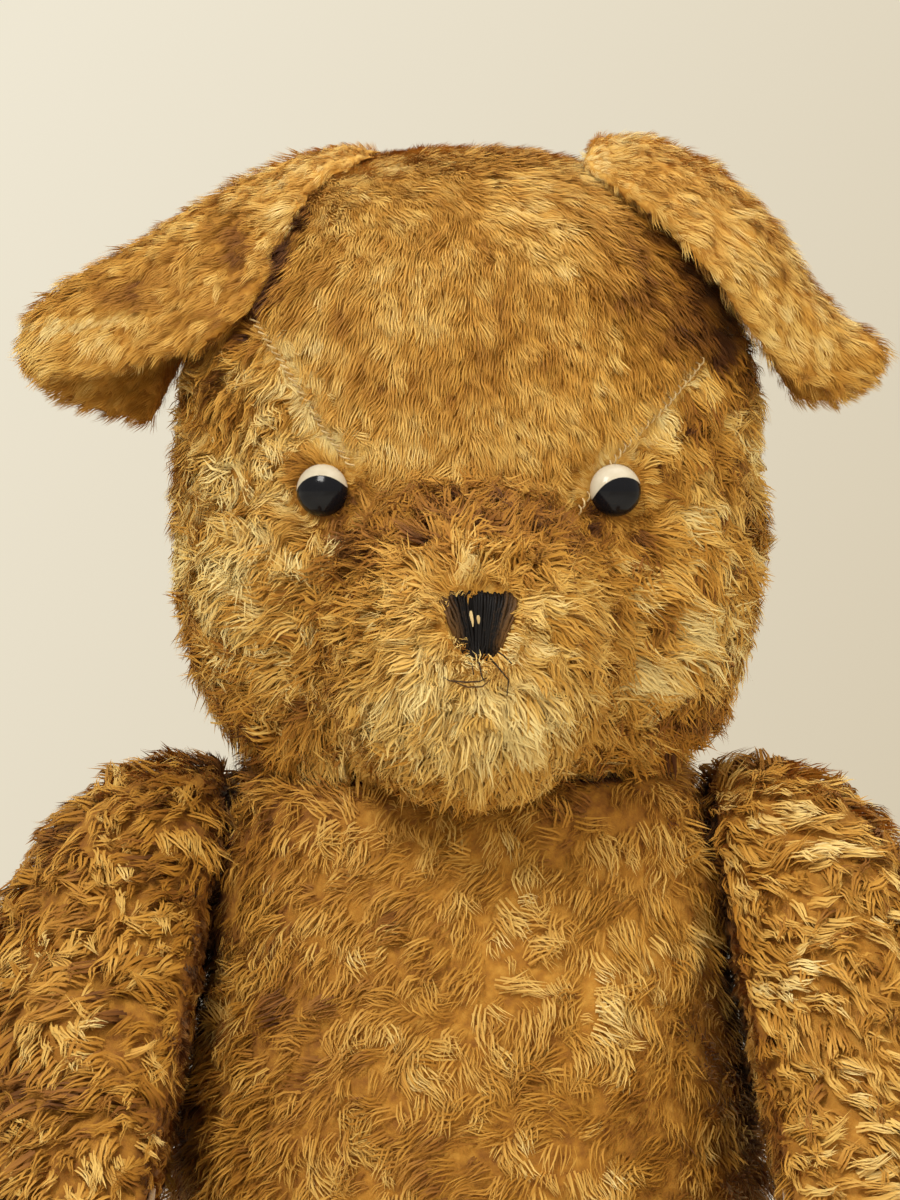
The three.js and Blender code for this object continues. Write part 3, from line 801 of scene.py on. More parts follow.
    # painted shadow on the head under and beside both ears
    tint_patches(tint, points, [
        (-0.55, (70, -30, 416), (20, 60, 22)),
        (-0.45, (86, -30, 390), (13, 60, 18)),
        (-0.34, (-80, -30, 398), (12, 60, 9)),
        (-0.26, (-64, -40, 424), (8, 60, 14)),
    ])
    room = room_above(points, normals, ["torso"])
    pile = np.minimum(pile, np.maximum(room * 1.5, 1.0))
    cover = np.where(room < 1.3, 0, cover * thicker(pile, 8))
    return {"nap": nap, "pile": pile * MM, "lift": lift, "tint": tint, "cover": cover}


def thicker(pile, usual):
    """Short pile stands closer, so that it still hides the backing."""
    return np.clip((usual / np.maximum(pile, 0.5)) ** 1.4, 1, 3)


def head_shares():
    """Which share of the pile each of the head's pieces takes."""
    points = read(head_cover.data, "co") / MM
    x, y, z = points.T
    front = y < 8
    muzzle = front & (np.hypot(x, (z - 300) * 0.95) < 47)
    gusset = (x > -37 - 0.67 * (z - 354)) & (x < 41 + 0.87 * (z - 350))
    brow = front & ~muzzle & (z > 322) & gusset
    cheeks = front & ~muzzle & ~brow
    return {"muzzle": muzzle, "brow_left": brow & (x >= 3), "brow_right": brow & (x < 3),
            "cheeks_left": cheeks & (x >= 3), "cheeks_right": cheeks & (x < 3), "nape": ~front}


head_pile_coat = head_coat()
HEAD_PILE = {
    "muzzle": (CURLED_LOCK, {"Locks per square metre": 385000.0, "Swirl": 0.7, "Swirl size": 0.018,
                             "Clump": 1.7, "Clump size": 0.006, "Curl": 0.0046, "Curl size": 0.0065,
                             "Lean": 0.6, "Mottle": 0.24, "Patchiness": 0.12}),
    "brow": (STRAIGHT_LOCK, {"Locks per square metre": 350000.0, "Swirl": 0.28, "Clump": 0.32,
                             "Clump size": 0.007, "Lean": 0.40, "Stray": 0.3, "Mottle": 0.22,
                             "Patchiness": 0.17, "Curl": 0.0014}),
    "cheeks": (CURLED_LOCK, {"Locks per square metre": 360000.0, "Swirl": 0.8, "Swirl size": 0.026,
                             "Clump": 1.3, "Clump size": 0.0075, "Lean": 0.48, "Curl": 0.0042,
                             "Mottle": 0.42, "Patchiness": 0.32}),
    "nape": (STRAIGHT_LOCK, {"Locks per square metre": 260000.0, "Swirl": 0.6, "Clump": 0.6,
                             "Lean": 0.40, "Curl": 0.0022, "Mottle": 0.28, "Patchiness": 0.25}),
}
for seed, (name, share) in enumerate(head_shares().items()):
    lock, sizes = HEAD_PILE[name.split("_")[0]]
    hairs = pile_over(head_cover, name + "_pile", lock, 10 + seed, head_pile_coat,
                      share=share.astype(float), **sizes)
    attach(hairs, "head")


def less(nodes, links, amount, taken):
    return node_with(nodes, links, "ShaderNodeMath", {0: amount, 1: taken},
                     operation="SUBTRACT").outputs[0]


def object_noise(nodes, links, scale, detail=2.0):
    """A level that wanders over the object, this many waves to the metre."""
    place = nodes.new("ShaderNodeTexCoord").outputs["Object"]
    return node_with(nodes, links, "ShaderNodeTexNoise",
                     {"Vector": place, "Scale": scale, "Detail": detail}).outputs[0]


def raise_grain(nodes, links, shader, height, distance, strength=1.0):
    """Fine relief, as deep as this distance in metres."""
    bump = node_with(nodes, links, "ShaderNodeBump",
                     {"Height": height, "Distance": distance, "Strength": strength})
    links.new(bump.outputs["Normal"], shader.inputs["Normal"])


def backing(name):
    """Woven cotton backing in its pile's tint, painted shade by the gaps included, with a fine
    weave and matted fluff.
    """
    material, nodes, links, shader = new_material(name)
    fluff = object_noise(nodes, links, 240, detail=5)
    # the pile's tint carries its painted shade into the backing
    tint_and_fluff = scaled_sum(nodes, links, fluff, 0.7, carried_value(nodes, links, "tint"))
    colour = toned(nodes, links, less(nodes, links, tint_and_fluff, 0.40), MOHAIR_DYES_AND_SHADE)
    links.new(colour, shader.inputs["Base Color"])
    weave = object_noise(nodes, links, 900)
    raise_grain(nodes, links, shader, weave, 0.0006, strength=0.7)
    surface(shader, {"Roughness": 0.9})
    return material


BACKING = backing("cotton_backing")


def finish_cover(skin, node, body, coat):
    """Gives a cover its backing, and lets it stand for its plain solid."""
    give(skin.data, "tint", coat["tint"])
    skin.data.materials.clear()
    skin.data.materials.append(BACKING)
    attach(skin, body)
    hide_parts(node)


finish_cover(head_cover, "head", "head", head_pile_coat)

# ---- seams of the head ----
# A gusset runs from the brow over the crown between two side pieces. Its seams show as parted
# pile with small slanting stitches of linen thread, drawn tight.
def thread_tree():
    """Lays thread along every path of a mesh of edges. Each path point has its own thickness."""
    inputs = {"Paths": "Geometry", "Thread": "Material", "Thickness": "Float", "Sides": "Int"}
    tree, nodes, links, given = new_tree("thread along a path", inputs, "Threads")

    def made(kind, sockets, **settings):
        return node_with(nodes, links, kind, sockets, **settings)

    curves = made("GeometryNodeMeshToCurve", {"Mesh": given["Paths"]})
    taper = made("GeometryNodeInputNamedAttribute", {"Name": "thick"}, data_type="FLOAT")
    width = made("ShaderNodeMath", {0: taper.outputs["Attribute"], 1: given["Thickness"]},
                 operation="MULTIPLY")
    ring = made("GeometryNodeCurvePrimitiveCircle", {"Resolution": given["Sides"], "Radius": 0.5})
    swept = made("GeometryNodeCurveToMesh",
                 {"Curve": curves.outputs["Curve"], "Profile Curve": ring.outputs["Curve"],
                  "Scale": width.outputs[0], "Fill Caps": True})
    real = made("GeometryNodeRealizeInstances", {"Geometry": swept.outputs["Mesh"]})
    dye = made("GeometryNodeSetMaterial",
               {"Geometry": real.outputs["Geometry"], "Material": given["Thread"]})
    made("NodeGroupOutput", {0: dye.outputs["Geometry"]})
    return tree


THREAD_TREE = thread_tree()


def threads(name, paths, material, thickness, sides=5, shades=None, tapers=None):
    """Sewn threads as one mesh. Paths are lists of points in millimetres."""
    verts, edges, thick, shade = [], [], [], []
    for i, path in enumerate(paths):
        first = len(verts)
        for step, spot in enumerate(path):
            part = step / (len(path) - 1)
            verts.append(Vector(spot) * MM)
            thick.append(tapers[i](part) if tapers else 1.0)
            shade.append(shades[i] if shades else 0.5)
        edges += [(first + step, first + step + 1) for step in range(len(path) - 1)]
    mesh = bpy.data.meshes.new(name)
    mesh.from_pydata(verts, edges, [])
    give(mesh, "thick", thick)
    give(mesh, "shade", shade)
    values = {"Thread": material, "Thickness": thickness * MM, "Sides": sides}
    made = grown(name, mesh, THREAD_TREE, values)
    tidy = bmesh.new()
    tidy.from_mesh(made)
    bmesh.ops.recalc_face_normals(tidy, faces=tidy.faces)
    tidy.to_mesh(made)
    tidy.free()
    return placed(name, made)


def spun_thread(name, dark, pale, roughness):
    """Spun thread: each strand has its own shade, and fine plies run round it."""
    material, nodes, links, shader = new_material(name)
    plies = object_noise(nodes, links, 1400)
    shade = less(nodes, links, carried_value(nodes, links, "shade"), 0.25)
    mixed = scaled_sum(nodes, links, plies, 0.5, shade)
    links.new(toned(nodes, links, mixed, [(0, dark), (1, pale)]), shader.inputs["Base Color"])
    raise_grain(nodes, links, shader, plies, 0.0002, strength=0.6)
    surface(shader, {"Roughness": roughness})
    return material


LINEN = spun_thread("linen_thread", (0.30, 0.17, 0.055), (0.72, 0.54, 0.26), 0.8)
head_tree = BVHTree.FromObject(head_cover, bpy.context.evaluated_depsgraph_get())


def on_face(x, z, proud=0.0):
    """The spot on the front of the head at x and z, and the way out of it. Millimetres."""
    start = Vector((x, -200, z)) * MM
    spot, normal, _, _ = head_tree.ray_cast(start, Vector((0, 1, 0)))
    return spot / MM + normal * proud, normal


def seam_stitches(line, pitch, length, proud):
    """Short slanting stitches across a seam."""
    paths = []
    for start, end in zip(line, line[1:]):
        start, end = Vector(start), Vector(end)
        steps = max(1, round((end - start).length / pitch))
        way = (end - start).normalized()
        slant = (Vector((-way.y, way.x)) * 0.55 + way * 0.85).normalized() * length / 2
        for step in range(steps):
            middle = start.lerp(end, (step + 0.5) / steps)
            ends = [on_face(*(middle + slant * part), proud * (1 - part * part * 0.7))[0]
                    for part in (-1, -0.4, 0.4, 1)]
            paths.append(ends)
    return paths


seam_paths = []
for line in GUSSET_SEAMS.values():
    seam_paths += seam_stitches(line, 2.5, 3.0, 2.8)
seam_thread = threads("gusset_stitches", seam_paths, LINEN, 0.6, sides=5,
                      shades=[0.45 + 0.5 * (i * 7 % 5) / 4 for i in range(len(seam_paths))])
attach(seam_thread, "head")

# ---- ears ----
# Each ear is two layers of the same mohair sewn round the edge and closed along the base. Both
# have gone limp: one is folded out sideways, the other droops forward. The base is rubbed bare.
def ear_coat(skin, side):
    points = read(skin.data, "co") / MM
    normals = read(skin.data, "normal")
    x, y, _ = points.T
    out = np.abs(x)
    nap = np.outer(np.ones_like(x), (0.75 * side, -0.25, -0.75))
    tip = ramp(out, 118, 138)
    nap += np.outer(tip, (0.8 * side, 0, -0.2))
    base = 1 - ramp(out, 36, 62)
    pile = 6.0 - 2.2 * base + 1.2 * tip
    lift = np.full(len(points), 0.7)
    tint = np.full(len(points), 0.54 if side < 0 else 0.60) + 0.12 * base
    # painted light: pile that faces up is paler, as if lit from above
    tint += 0.10 * ramp(normals[:, 2], 0.3, 0.9)
    if side < 0:
        tint_patches(tint, points, [
            (-0.14, (-96, -50, 426), (13, 40, 10)),
            # painted shade in the ear's fold: the next two narrow dark lines
            (-0.34, (-74, -50, 424), (5, 40, 12)),
            (-0.20, (-80, -50, 436), (4, 40, 6)),
            (-0.15, (-114, -45, 414), (16, 40, 8)),
            (0.08, (-60, -40, 440), (12, 40, 9)),
            (0.06, (-122, -45, 398), (24, 40, 7)),
        ])
        parted = 1 - ramp(near_line(points, [(-147, 402), (-128, 401), (-110, 404)]), 0.8, 2.6)
        tint += 0.34 * parted
        pile -= 2.5 * parted
    else:
        tint_patches(tint, points, [
            (0.10, (84, -50, 430), (10, 40, 16)),
            (0.08, (110, -40, 402), (10, 40, 12)),
            (-0.14, (56, -40, 448), (12, 40, 6)),
            (-0.12, (124, -30, 390), (8, 40, 16)),
        ])
    room = room_above(points, normals, ["head"])
    pile = np.minimum(pile, np.maximum(room * 1.4, 1.5))
    cover = np.where(room < 1.0, 0, thicker(pile, 6)) * (0.62 + 0.38 * ramp(-y, -8, 10))
    return {"nap": nap, "pile": pile * MM, "lift": lift, "tint": tint, "cover": cover}


EAR_PILE = {"Locks per square metre": 260000.0, "Swirl": 0.35, "Clump": 0.35, "Clump size": 0.007,
            "Lean": 0.42, "Curl": 0.0016, "Mottle": 0.24, "Patchiness": 0.16}
for seed, (name, side) in enumerate({"ear_left": 1, "ear_right": -1}.items()):
    ear_cover = stuffed_skin(name, grain=2.4, rounds=3, deep=0.6)
    coat = ear_coat(ear_cover, side)
    hairs = pile_over(ear_cover, name + "_pile", STRAIGHT_LOCK, 20 + seed, coat, **EAR_PILE)
    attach(hairs, "head")
    finish_cover(ear_cover, name, "head", coat)

# ---- eyes ----
# Each eye is a domed button of milky glass with a black pupil fired into its face, tied in by a
# wire loop. The pupils sit low, so that a white crescent shows above them.
EYE_RADIUS, EYE_FRONT, EYE_BACK = 8.45, 5.9, 3.0
PUPIL_RADIUS = 10.0
PUPIL_LOW = {"left": (1.6, 6.0), "right": (-0.6, 5.4)}
PUPIL_BLUR = 0.12
MILK_TONES = [(0, (0.50, 0.42, 0.29)), (1, (0.70, 0.63, 0.49))]
EYE_TURN, EYE_LIFT = 14, 2


def eye_glass(name, seat, turned, pupil):
    """Milky glass, black where it is nearer than a pupil's radius to the pupil's middle."""
    material, nodes, links, shader = new_material(name)
    place = nodes.new("ShaderNodeTexCoord").outputs["Object"]
    centred = node_with(nodes, links, "ShaderNodeMapping",
                        {"Vector": place, "Location": seat, "Rotation": turned.to_euler()},
                        vector_type="TEXTURE")
    flat = node_with(nodes, links, "ShaderNodeVectorMath", {0: centred.outputs[0], 1: (1, 1, 0)},
                     operation="MULTIPLY")
    away = node_with(nodes, links, "ShaderNodeVectorMath", {0: flat.outputs[0], 1: pupil},
                     operation="DISTANCE")
    edge = node_with(nodes, links, "ShaderNodeMapRange",
                     {"Value": away.outputs["Value"],
                      "From Min": (PUPIL_RADIUS - PUPIL_BLUR) * MM,
                      "From Max": (PUPIL_RADIUS + PUPIL_BLUR) * MM})
    milk = toned(nodes, links, object_noise(nodes, links, 260, detail=3), MILK_TONES)
    both = node_with(nodes, links, "ShaderNodeMix",
                     {"Factor": edge.outputs["Result"], 6: (0.006, 0.006, 0.008, 1), 7: milk},
                     data_type="RGBA")
    links.new(both.outputs[2], shader.inputs["Base Color"])
    surface(shader, {"Roughness": 0.14, "Specular IOR Level": 0.24})
    return material


def glass_button(name, side):
    """A lens-shaped dome, turned round its own axis on the face."""
    rows, around = 10, 40
    low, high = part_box("eye_" + name)
    seat = (low + high) / 2
    axis = Vector((side * math.sin(math.radians(EYE_TURN)), -math.cos(math.radians(EYE_TURN)),
                   math.sin(math.radians(EYE_LIFT)))).normalized()
    seat -= axis * (EYE_FRONT - EYE_BACK) / 2 * MM
    across = Vector((0, 0, 1)).cross(axis).normalized()
    turned = Matrix((across, axis.cross(across), axis)).transposed()
    dome = bmesh.new()
    rings = []
    for row in range(1, 2 * rows):
        angle = math.pi * (row / (2 * rows) - 0.5)
        deep = (EYE_BACK if angle < 0 else EYE_FRONT) * math.sin(angle)
        ring = []
        for step in range(around):
            turn = 2 * math.pi * step / around
            spot = Vector((math.cos(turn), math.sin(turn), 0)) * EYE_RADIUS * math.cos(angle)
            spot.z = deep
            ring.append(dome.verts.new(seat + turned @ (spot * MM)))
        rings.append(ring)
    for low_ring, high_ring in zip(rings, rings[1:]):
        for step in range(around):
            after = (step + 1) % around
            dome.faces.new((low_ring[step], low_ring[after], high_ring[after], high_ring[step]))
    back = dome.verts.new(seat - axis * EYE_BACK * MM)
    front = dome.verts.new(seat + axis * EYE_FRONT * MM)
    for step in range(around):
        after = (step + 1) % around
        dome.faces.new((back, rings[0][after], rings[0][step]))
        dome.faces.new((front, rings[-1][step], rings[-1][after]))
    bmesh.ops.recalc_face_normals(dome, faces=dome.faces)
    mesh = bpy.data.meshes.new("glass_eye_" + name)
    dome.to_mesh(mesh)
    dome.free()
    mesh.polygons.foreach_set("use_smooth", [True] * len(mesh.polygons))
    pupil_out, pupil_drop = PUPIL_LOW[name]
    outwards = across if across.x * side > 0 else -across
    right_way = outwards * pupil_out - axis.cross(across) * pupil_drop
    pupil = turned.inverted() @ (right_way * MM)
    mesh.materials.append(eye_glass("eye_glass_" + name, seat, turned, pupil))
    return bpy.data.objects.new(mesh.name, mesh)


for name, side in (("left", 1), ("right", -1)):
    eye = glass_button(name, side)
    scene.collection.objects.link(eye)
    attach(eye, "head")
    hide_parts("eye_" + name)

# ---- nose and mouth ----
# The nose is upright satin stitches of black thread over a small pad. It is worn brown at its
# sides, two strands have broken open in the middle, and a few ends have frayed below it.
BLACK_THREAD = spun_thread("black_thread", (0.004, 0.003, 0.003), (0.21, 0.100, 0.028), 0.55)
surface(BLACK_THREAD.node_tree.nodes["Principled BSDF"], {"Specular IOR Level": 0.22})
NOSE_TOP = [(-12.8, 7.8), (-9.2, 10.8), (0, 11.6), (9.2, 10.8), (12.8, 7.8)]
NOSE_FOOT = [(-13, -3), (-7.0, -7.2), (-4.4, -10.4), (-0.6, -13.8), (4.2, -11.0), (7.0, -7.6),
             (13, -3)]
NOSE_X, NOSE_Z = 3.0, 305


def height_at(line, x):
    return float(np.interp(x, [spot[0] for spot in line], [spot[1] for spot in line]))


def nose_strands():
    """Strands from the top edge that close in towards the foot, in two crossing layers."""
    chance = np.random.default_rng(4)
    paths, shades, tapers = [], [], []
    for layer, (count, proud) in enumerate([(31, 1.8), (27, 2.8)]):
        for i in range(count):
            across = (i + 0.5) / count * 2 - 1
            top_x = across * 12.3 + chance.uniform(-0.35, 0.35)
            foot_x = across * 7.0 - 0.2 + chance.uniform(-0.6, 0.6)
            if layer == 1 and abs(top_x + 2.4) < 0.6:
                continue
            top_z = height_at(NOSE_TOP, top_x) + chance.uniform(-0.9, 0.7)
            foot_z = height_at(NOSE_FOOT, foot_x) + chance.uniform(-0.5, 0.9)
            path = []
            for step in range(9):
                part = step / 8
                x = top_x + (foot_x - top_x) * part ** 1.7 + chance.uniform(-0.08, 0.08)
                z = top_z + (foot_z - top_z) * part
                arch = math.sin(math.pi * part) ** 0.6 if 0 < part < 1 else -0.6
                path.append(on_face(NOSE_X + x, NOSE_Z + z, -0.4 + (proud + 0.4) * arch)[0])
            worn = min(1.0, abs(across) ** 3 * 0.9 + chance.uniform(0, 0.22) ** 2 * 4)
            paths.append(path)
            shades.append(0.75 * worn - 0.12)
            tapers.append(lambda part: 1.0)
    return paths, shades, tapers


strand_paths, strand_shades, strand_tapers = nose_strands()
FRAYED_ENDS = [((2.4, -12.6), (3.2, -17.6), 5.0), ((6.8, -11.4), (9.6, -20.0), 6.0),
               ((7.9, -9.0), (11.6, -12.6), 6.0), ((-1.4, -11.6), (1.0, -15.4), 4.0)]
for (x, z), (end_x, end_z), proud in FRAYED_ENDS:
    bits = []
    for part in (0, 0.3, 0.65, 1):
        sway = 0.6 * math.sin(part * 5 + x)
        bits.append(on_face(NOSE_X - 3.2 + x + (end_x - x) * part + sway * 0.4,
                            NOSE_Z + z + (end_z - z) * part, 1.0 + proud * min(1, part * 2))[0])
    strand_paths.append(bits)
    strand_shades.append(0.12)
    strand_tapers.append(lambda part: 0.62 - 0.3 * part)
nose_threads = threads("nose_satin_stitches", strand_paths, BLACK_THREAD, 1.15, sides=6,
                       shades=strand_shades, tapers=strand_tapers)
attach(nose_threads, "head")
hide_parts("nose_stitching")

slit_paths = []
for x, top, foot in [(-2.9, 4.4, -0.8), (-0.4, 3.0, -0.2)]:
    slit_paths.append([on_face(NOSE_X + x + 0.3 * part, NOSE_Z + top + (foot - top) * part, 3.0)[0]
                       for part in (0, 0.35, 0.7, 1)])


def broken_taper(part):
    """A strand that is full near its start and thin where it broke."""
    return 0.45 + 0.9 * math.sin(math.pi * min(1, part + 0.12))


pale_strands = threads("nose_broken_strands", slit_paths, LINEN, 1.0, sides=6, shades=[1.0, 0.7],
                       tapers=[broken_taper] * 2)
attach(pale_strands, "head")

mouth_line = [(-7.6, 289.4), (-5.0, 288.1), (-1.6, 287.4), (2.0, 287.4), (5.0, 288.6)]
mouth_paths = [[on_face(x, z, proud)[0]
                for (x, z), proud in zip(mouth_line, (2.4, 4.6, 5.2, 5.0, 2.8))],
               [on_face(x + 0.8, z - 0.5, proud)[0]
                for (x, z), proud in zip(mouth_line[1:], (4.0, 5.0, 5.0, 3.0))]]
mouth = threads("mouth_thread", mouth_paths, BLACK_THREAD, 0.62, sides=5, shades=[0.25, 0.4],
                tapers=[lambda part: 0.5 + 0.5 * math.sin(math.pi * part)] * 2)
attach(mouth, "head")
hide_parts("mouth_stitch")

# ---- torso ----
# The body is a tapered bag of the same mohair, packed hard and sewn up the back. Its pile is
# matted, flows down and to one side over the chest, and is darker at the neck and flanks:
# partly brown patches, partly painted shade where the head and limbs lie close.
LIMBS = ["arm_left", "arm_right", "leg_left", "leg_right"]


def torso_coat(skin):
    points = read(skin.data, "co") / MM
    normals = read(skin.data, "normal")
    x, y, z = points.T
    front = ramp(-y, -10, 30)
    edge = ramp(np.abs(x), 66, 88) * front
    nap = np.column_stack([-0.35 - 0.6 * edge * np.sign(x), np.zeros_like(x), -0.75 + 0 * x])
    pile = 8.5 + 0.5 * front - 3.0 * edge
    lift = np.full(len(points), 0.85)
    tint = np.full(len(points), 0.43)
    tint_patches(tint, points, [
        (-0.14, (-70, -60, 243), (24, 60, 14)),
        (-0.08, (50, -60, 242), (34, 60, 13)),
        (0.09, (60, -60, 200), (24, 60, 40)),
        (-0.10, (-66, -60, 190), (16, 60, 30)),
        (0.07, (-4, -60, 222), (40, 60, 16)),
        (0.05, (-18, -60, 176), (30, 60, 16)),
        (-0.06, (-40, -60, 140), (30, 60, 12)),
        (0.05, (30, -60, 196), (18, 60, 12)),
        # painted shade: a thin dark band in the crease just under the head
        (-0.08, (0, -60, 252), (90, 60, 7)),
    ])
    for side in (-1, 1):
        flank = blob(points, (side * 86, -20, 130), (16, 60, 34))
        pile += 5.0 * flank
        lift += 0.8 * flank
    room = room_above(points, normals, ["head"] + LIMBS)
    # painted shade: the pile darkens where the head or a limb lies close above it
    tint -= 0.36 * (1 - ramp(room, 3, 11))
    pile = np.minimum(pile, np.maximum(room * 1.5, 1.0))
    cover = np.where(room < 1.3, 0, thicker(pile, 9)) * ramp(z, 0.5, 5)
    seam = np.where(y > 0, np.abs(x), FAR)
    parted = 1 - ramp(seam, 1.5, 7)
    pile -= (pile - 4) * parted
    return {"nap": nap, "pile": pile * MM, "lift": lift, "tint": tint, "cover": cover}


torso_cover = stuffed_skin("torso")
coat = torso_coat(torso_cover)
torso_front = read(torso_cover.data, "co")[:, 1] < 0.010
TORSO_PILE = {"Swirl": 0.9, "Swirl size": 0.030, "Clump": 0.7, "Clump size": 0.008, "Lean": 0.36,
              "Curl": 0.0026, "Mottle": 0.26, "Patchiness": 0.22}
for seed, (name, share, lock, density) in enumerate([
        ("chest_pile", torso_front, SHORT_LOCK, 72000.0),
        ("back_pile", ~torso_front, STRAIGHT_LOCK, 60000.0)]):
    hairs = pile_over(torso_cover, name, lock, 30 + seed, coat, share=share.astype(float),
                      **TORSO_PILE, **{"Locks per square metre": density})
    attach(hairs, "torso")
finish_cover(torso_cover, "torso", "torso", coat)

back_tree = BVHTree.FromObject(torso_cover, bpy.context.evaluated_depsgraph_get())
closing_paths = []
for step in range(34):
    z = 60 + 4.6 * step
    stitch = []
    for x, lean in ((-2.2, -0.9), (0, 0), (2.2, 0.9)):
        spot, normal, _, _ = back_tree.ray_cast(Vector((x, 200, z + lean)) * MM, Vector((0, -1, 0)))
        stitch.append(spot / MM + normal * (1.2 if x == 0 else 0.1))
    closing_paths.append(stitch)
closing_seam = threads("back_closing_stitches", closing_paths, LINEN, 0.8, sides=5)
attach(closing_seam, "torso")

# ---- arms and paws ----
# Each arm is a curved bag with a flat inner face, hung on a disc joint. Its mohair has kept its
# length and has matted into thick curled tufts. The paw is a pad of worn wool felt, sewn on.
ARM_HANG = 39


def arm_coat(skin, side):
    points = read(skin.data, "co") / MM
    normals = read(skin.data, "normal")
    x = points[:, 0]
    hang = math.radians(ARM_HANG)
    along_arm = np.array([0, -math.sin(hang), -math.cos(hang)])
    nap = np.tile(along_arm * 0.8, (len(points), 1))
    nap[:, 0] += 0.5 * side
    top = blob(points, (side * 105, -10, 236), (60, 70, 26))
    tint = np.full(len(points), 0.37 if side < 0 else 0.44) - 0.05 * top
    tint += 0.07 * blob(points, (side * 140, -20, 190), (26, 70, 50))
    pile = 12.0 + 0 * x
    lift = np.full(len(points), 1.0)
    inner = ramp(-normals[:, 0] * side, 0.7, 0.97)
    toward = ramp(-normals[:, 0] * side, 0.1, 0.7)
    nap[:, 0] += 0.3 * side * toward
    pile -= 6.5 * inner
    # painted shade on the flat inner face, which faces the body
    tint -= 0.10 * inner
    room = room_above(points, normals, ["torso", "head", "leg_left", "leg_right"])
    # painted shade: darker where the body, head or legs lie close
    tint -= 0.40 * (1 - ramp(room, 3, 13)) * np.maximum(toward, 0.2)
    # painted light: pile that faces up is paler, as if lit from above
    tint += 0.08 * ramp(normals[:, 2], 0.3, 0.9)
    pile = np.minimum(pile, np.maximum(room * 1.5, 1.0))
    cover = np.where(room < 1.3, 0, thicker(pile, 10)) * (1 + 0.8 * toward * (1 - inner))
    paw = "paw_pad_left" if side > 0 else "paw_pad_right"
    low, high = (np.array(corner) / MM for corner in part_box(paw))
    near_pad = np.max(np.maximum(low - points, points - high)[:, 1:], axis=1)
    pad = (np.abs(points[:, 0] - (low[0] + high[0]) / 2) < 5) & (near_pad < 0)
    cover = np.where(pad, 0, cover)
    return {"nap": nap, "pile": pile * MM, "lift": lift, "tint": tint, "cover": cover}


def felt(name, colour, worn):
    """Pressed wool felt: matted fibres, rubbed paler in patches."""
    material, nodes, links, shader = new_material(name)
    rubbed = object_noise(nodes, links, 75, detail=5)
    tone = toned(nodes, links, rubbed, [(0.35, colour), (0.72, worn)])
    links.new(tone, shader.inputs["Base Color"])
    fibres = object_noise(nodes, links, 1100, detail=3)
    raise_grain(nodes, links, shader, fibres, 0.0004, strength=0.8)
    surface(shader, {"Roughness": 0.95, "Sheen Weight": 0.3})
    return material


FELT = felt("worn_felt", (0.42, 0.25, 0.10), (0.60, 0.42, 0.22))


def felt_pad(node, body):
    """The pad's plate with its edges rubbed round."""
    mesh = remade(closed_bag(node), node + "_felt", 0.9)
    keep_outer_shell(mesh)
    relax(mesh, 3)
    mesh.materials.clear()
    mesh.materials.append(FELT)
    pad = placed(node + "_felt", mesh)
    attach(pad, body)
    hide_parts(node)


ARM_PILE = {"Locks per square metre": 72000.0, "Swirl": 1.0, "Swirl size": 0.024, "Clump": 1.0,
            "Clump size": 0.0085, "Lean": 0.42, "Stray": 0.35, "Curl": 0.0030, "Curl size": 0.009,
            "Mottle": 0.34, "Patchiness": 0.22}
for seed, (name, side) in enumerate({"arm_left": 1, "arm_right": -1}.items()):
    arm_cover = stuffed_skin(name)
    coat = arm_coat(arm_cover, side)
    hairs = pile_over(arm_cover, name + "_pile", TUFT, 40 + seed, coat, **ARM_PILE)
    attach(hairs, name)
    finish_cover(arm_cover, name, name, coat)
    felt_pad("paw_pad_" + name[4:], name)

# ---- legs and feet ----
# Each leg is a straight stuffed bag with a turned-up foot and a felt sole. Its pile is shorter,
# because it has been sat on and handled, and it is flattened underneath.
def leg_coat(skin, side):
    points = read(skin.data, "co") / MM
    normals = read(skin.data, "normal")
    x, _, z = points.T
    nap = np.column_stack([0.25 * side + 0 * x, -0.8 + 0 * x, -0.35 + 0 * x])
    pile = 9.5 + 0 * x
    lift = np.full(len(points), 0.85)
    tint = np.full(len(points), 0.47) - 0.06 * ramp(-z, -40, -10)
    room = room_above(points, normals, ["torso", "arm_left", "arm_right"])
    pile = np.minimum(pile, np.maximum(room * 1.5, 1.0))
    cover = np.where(room < 1.3, 0, thicker(pile, 9)) * ramp(z, 0.5, 5)
    sole = "foot_pad_left" if side > 0 else "foot_pad_right"
    low, high = (np.array(corner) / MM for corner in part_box(sole))
    near_sole = np.all((points > low - 3) & (points < high + 3), axis=1)
    cover = np.where(near_sole & (normals[:, 1] < -0.5), 0, cover)
    return {"nap": nap, "pile": pile * MM, "lift": lift, "tint": tint, "cover": cover}


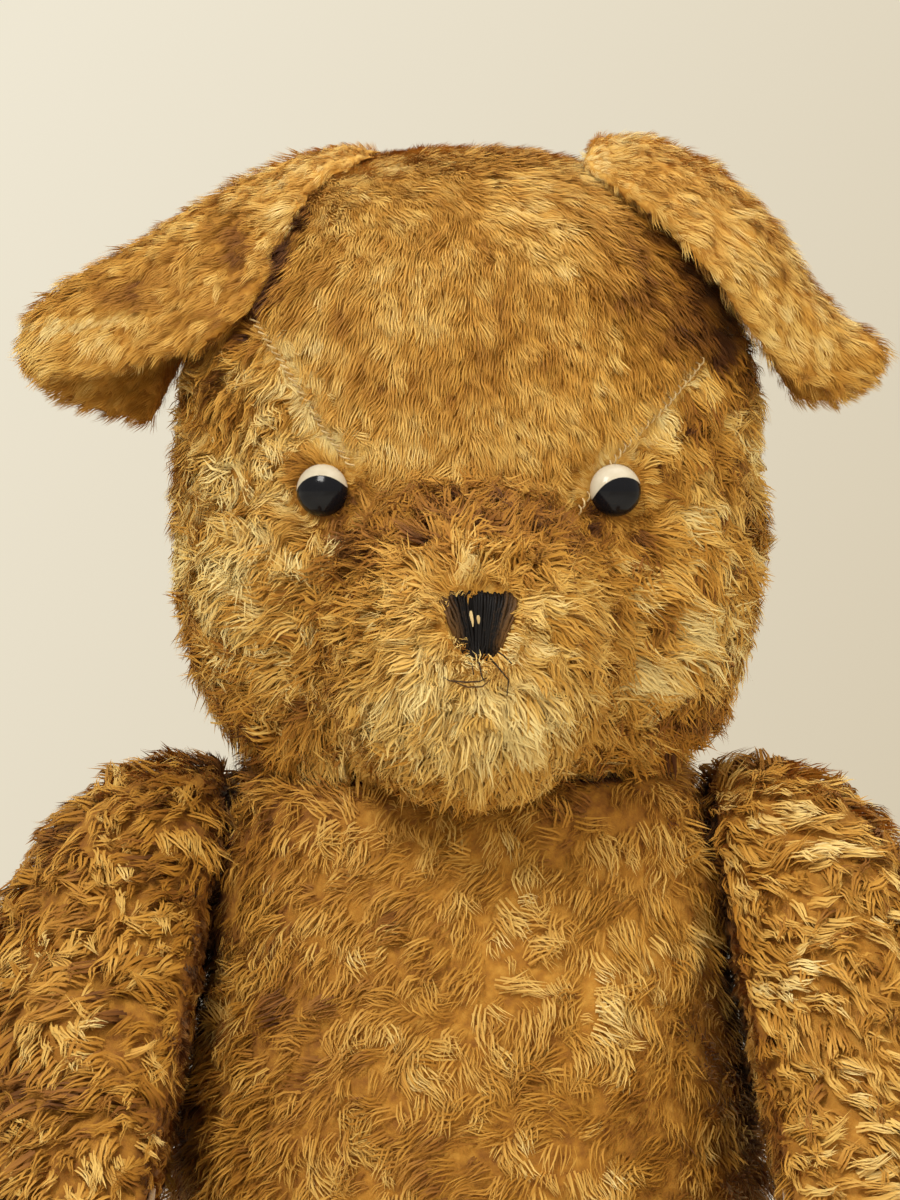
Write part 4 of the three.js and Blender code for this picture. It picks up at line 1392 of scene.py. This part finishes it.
LEG_PILE = {"Locks per square metre": 54000.0, "Swirl": 0.5, "Clump": 0.6, "Lean": 0.4,
            "Curl": 0.0022, "Mottle": 0.28, "Patchiness": 0.26}
for seed, (name, side) in enumerate({"leg_left": 1, "leg_right": -1}.items()):
    leg_cover = stuffed_skin(name)
    coat = leg_coat(leg_cover, side)
    hairs = pile_over(leg_cover, name + "_pile", STRAIGHT_LOCK, 50 + seed, coat, **LEG_PILE)
    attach(hairs, name)
    finish_cover(leg_cover, name, name, coat)
    felt_pad("foot_pad_" + name[4:], name)

# ---- joint hardware ----
# Each joint is two discs of pressed hardboard held by steel washers and a split pin, shut inside
# the stuffing. The eyes' wire loops are shut in the same way. Their solids already have the shape.
BOARD_TONES = [(0.3, (0.13, 0.065, 0.028)), (0.7, (0.30, 0.17, 0.08))]
STEEL_TONES = [(0.42, (0.42, 0.40, 0.37)), (0.72, (0.20, 0.10, 0.05))]


def pressed_board():
    """Brown hardboard of matted fibres."""
    material, nodes, links, shader = new_material("pressed_hardboard")
    fibre = object_noise(nodes, links, 420, detail=6)
    links.new(toned(nodes, links, fibre, BOARD_TONES), shader.inputs["Base Color"])
    raise_grain(nodes, links, shader, fibre, 0.0002)
    surface(shader, {"Roughness": 0.75})
    return material


def old_steel():
    """Grey steel with rust stains, duller where it is stained."""
    material, nodes, links, shader = new_material("old_steel")
    tint_patches = object_noise(nodes, links, 220, detail=5)
    links.new(toned(nodes, links, tint_patches, STEEL_TONES), shader.inputs["Base Color"])
    dull = node_with(nodes, links, "ShaderNodeMapRange",
                     {"Value": tint_patches, "To Min": 0.32, "To Max": 0.7})
    links.new(dull.outputs["Result"], shader.inputs["Roughness"])
    surface(shader, {"Metallic": 0.9})
    return material


BOARD, STEEL = pressed_board(), old_steel()
for name, part in frame["nodes"].items():
    finish = None
    if name.endswith("_disc"):
        finish = BOARD
    elif name.endswith(("_washer", "_pin")) or name.startswith("eye_loop"):
        finish = STEEL
    if finish:
        part.data.materials.clear()
        part.data.materials.append(finish)
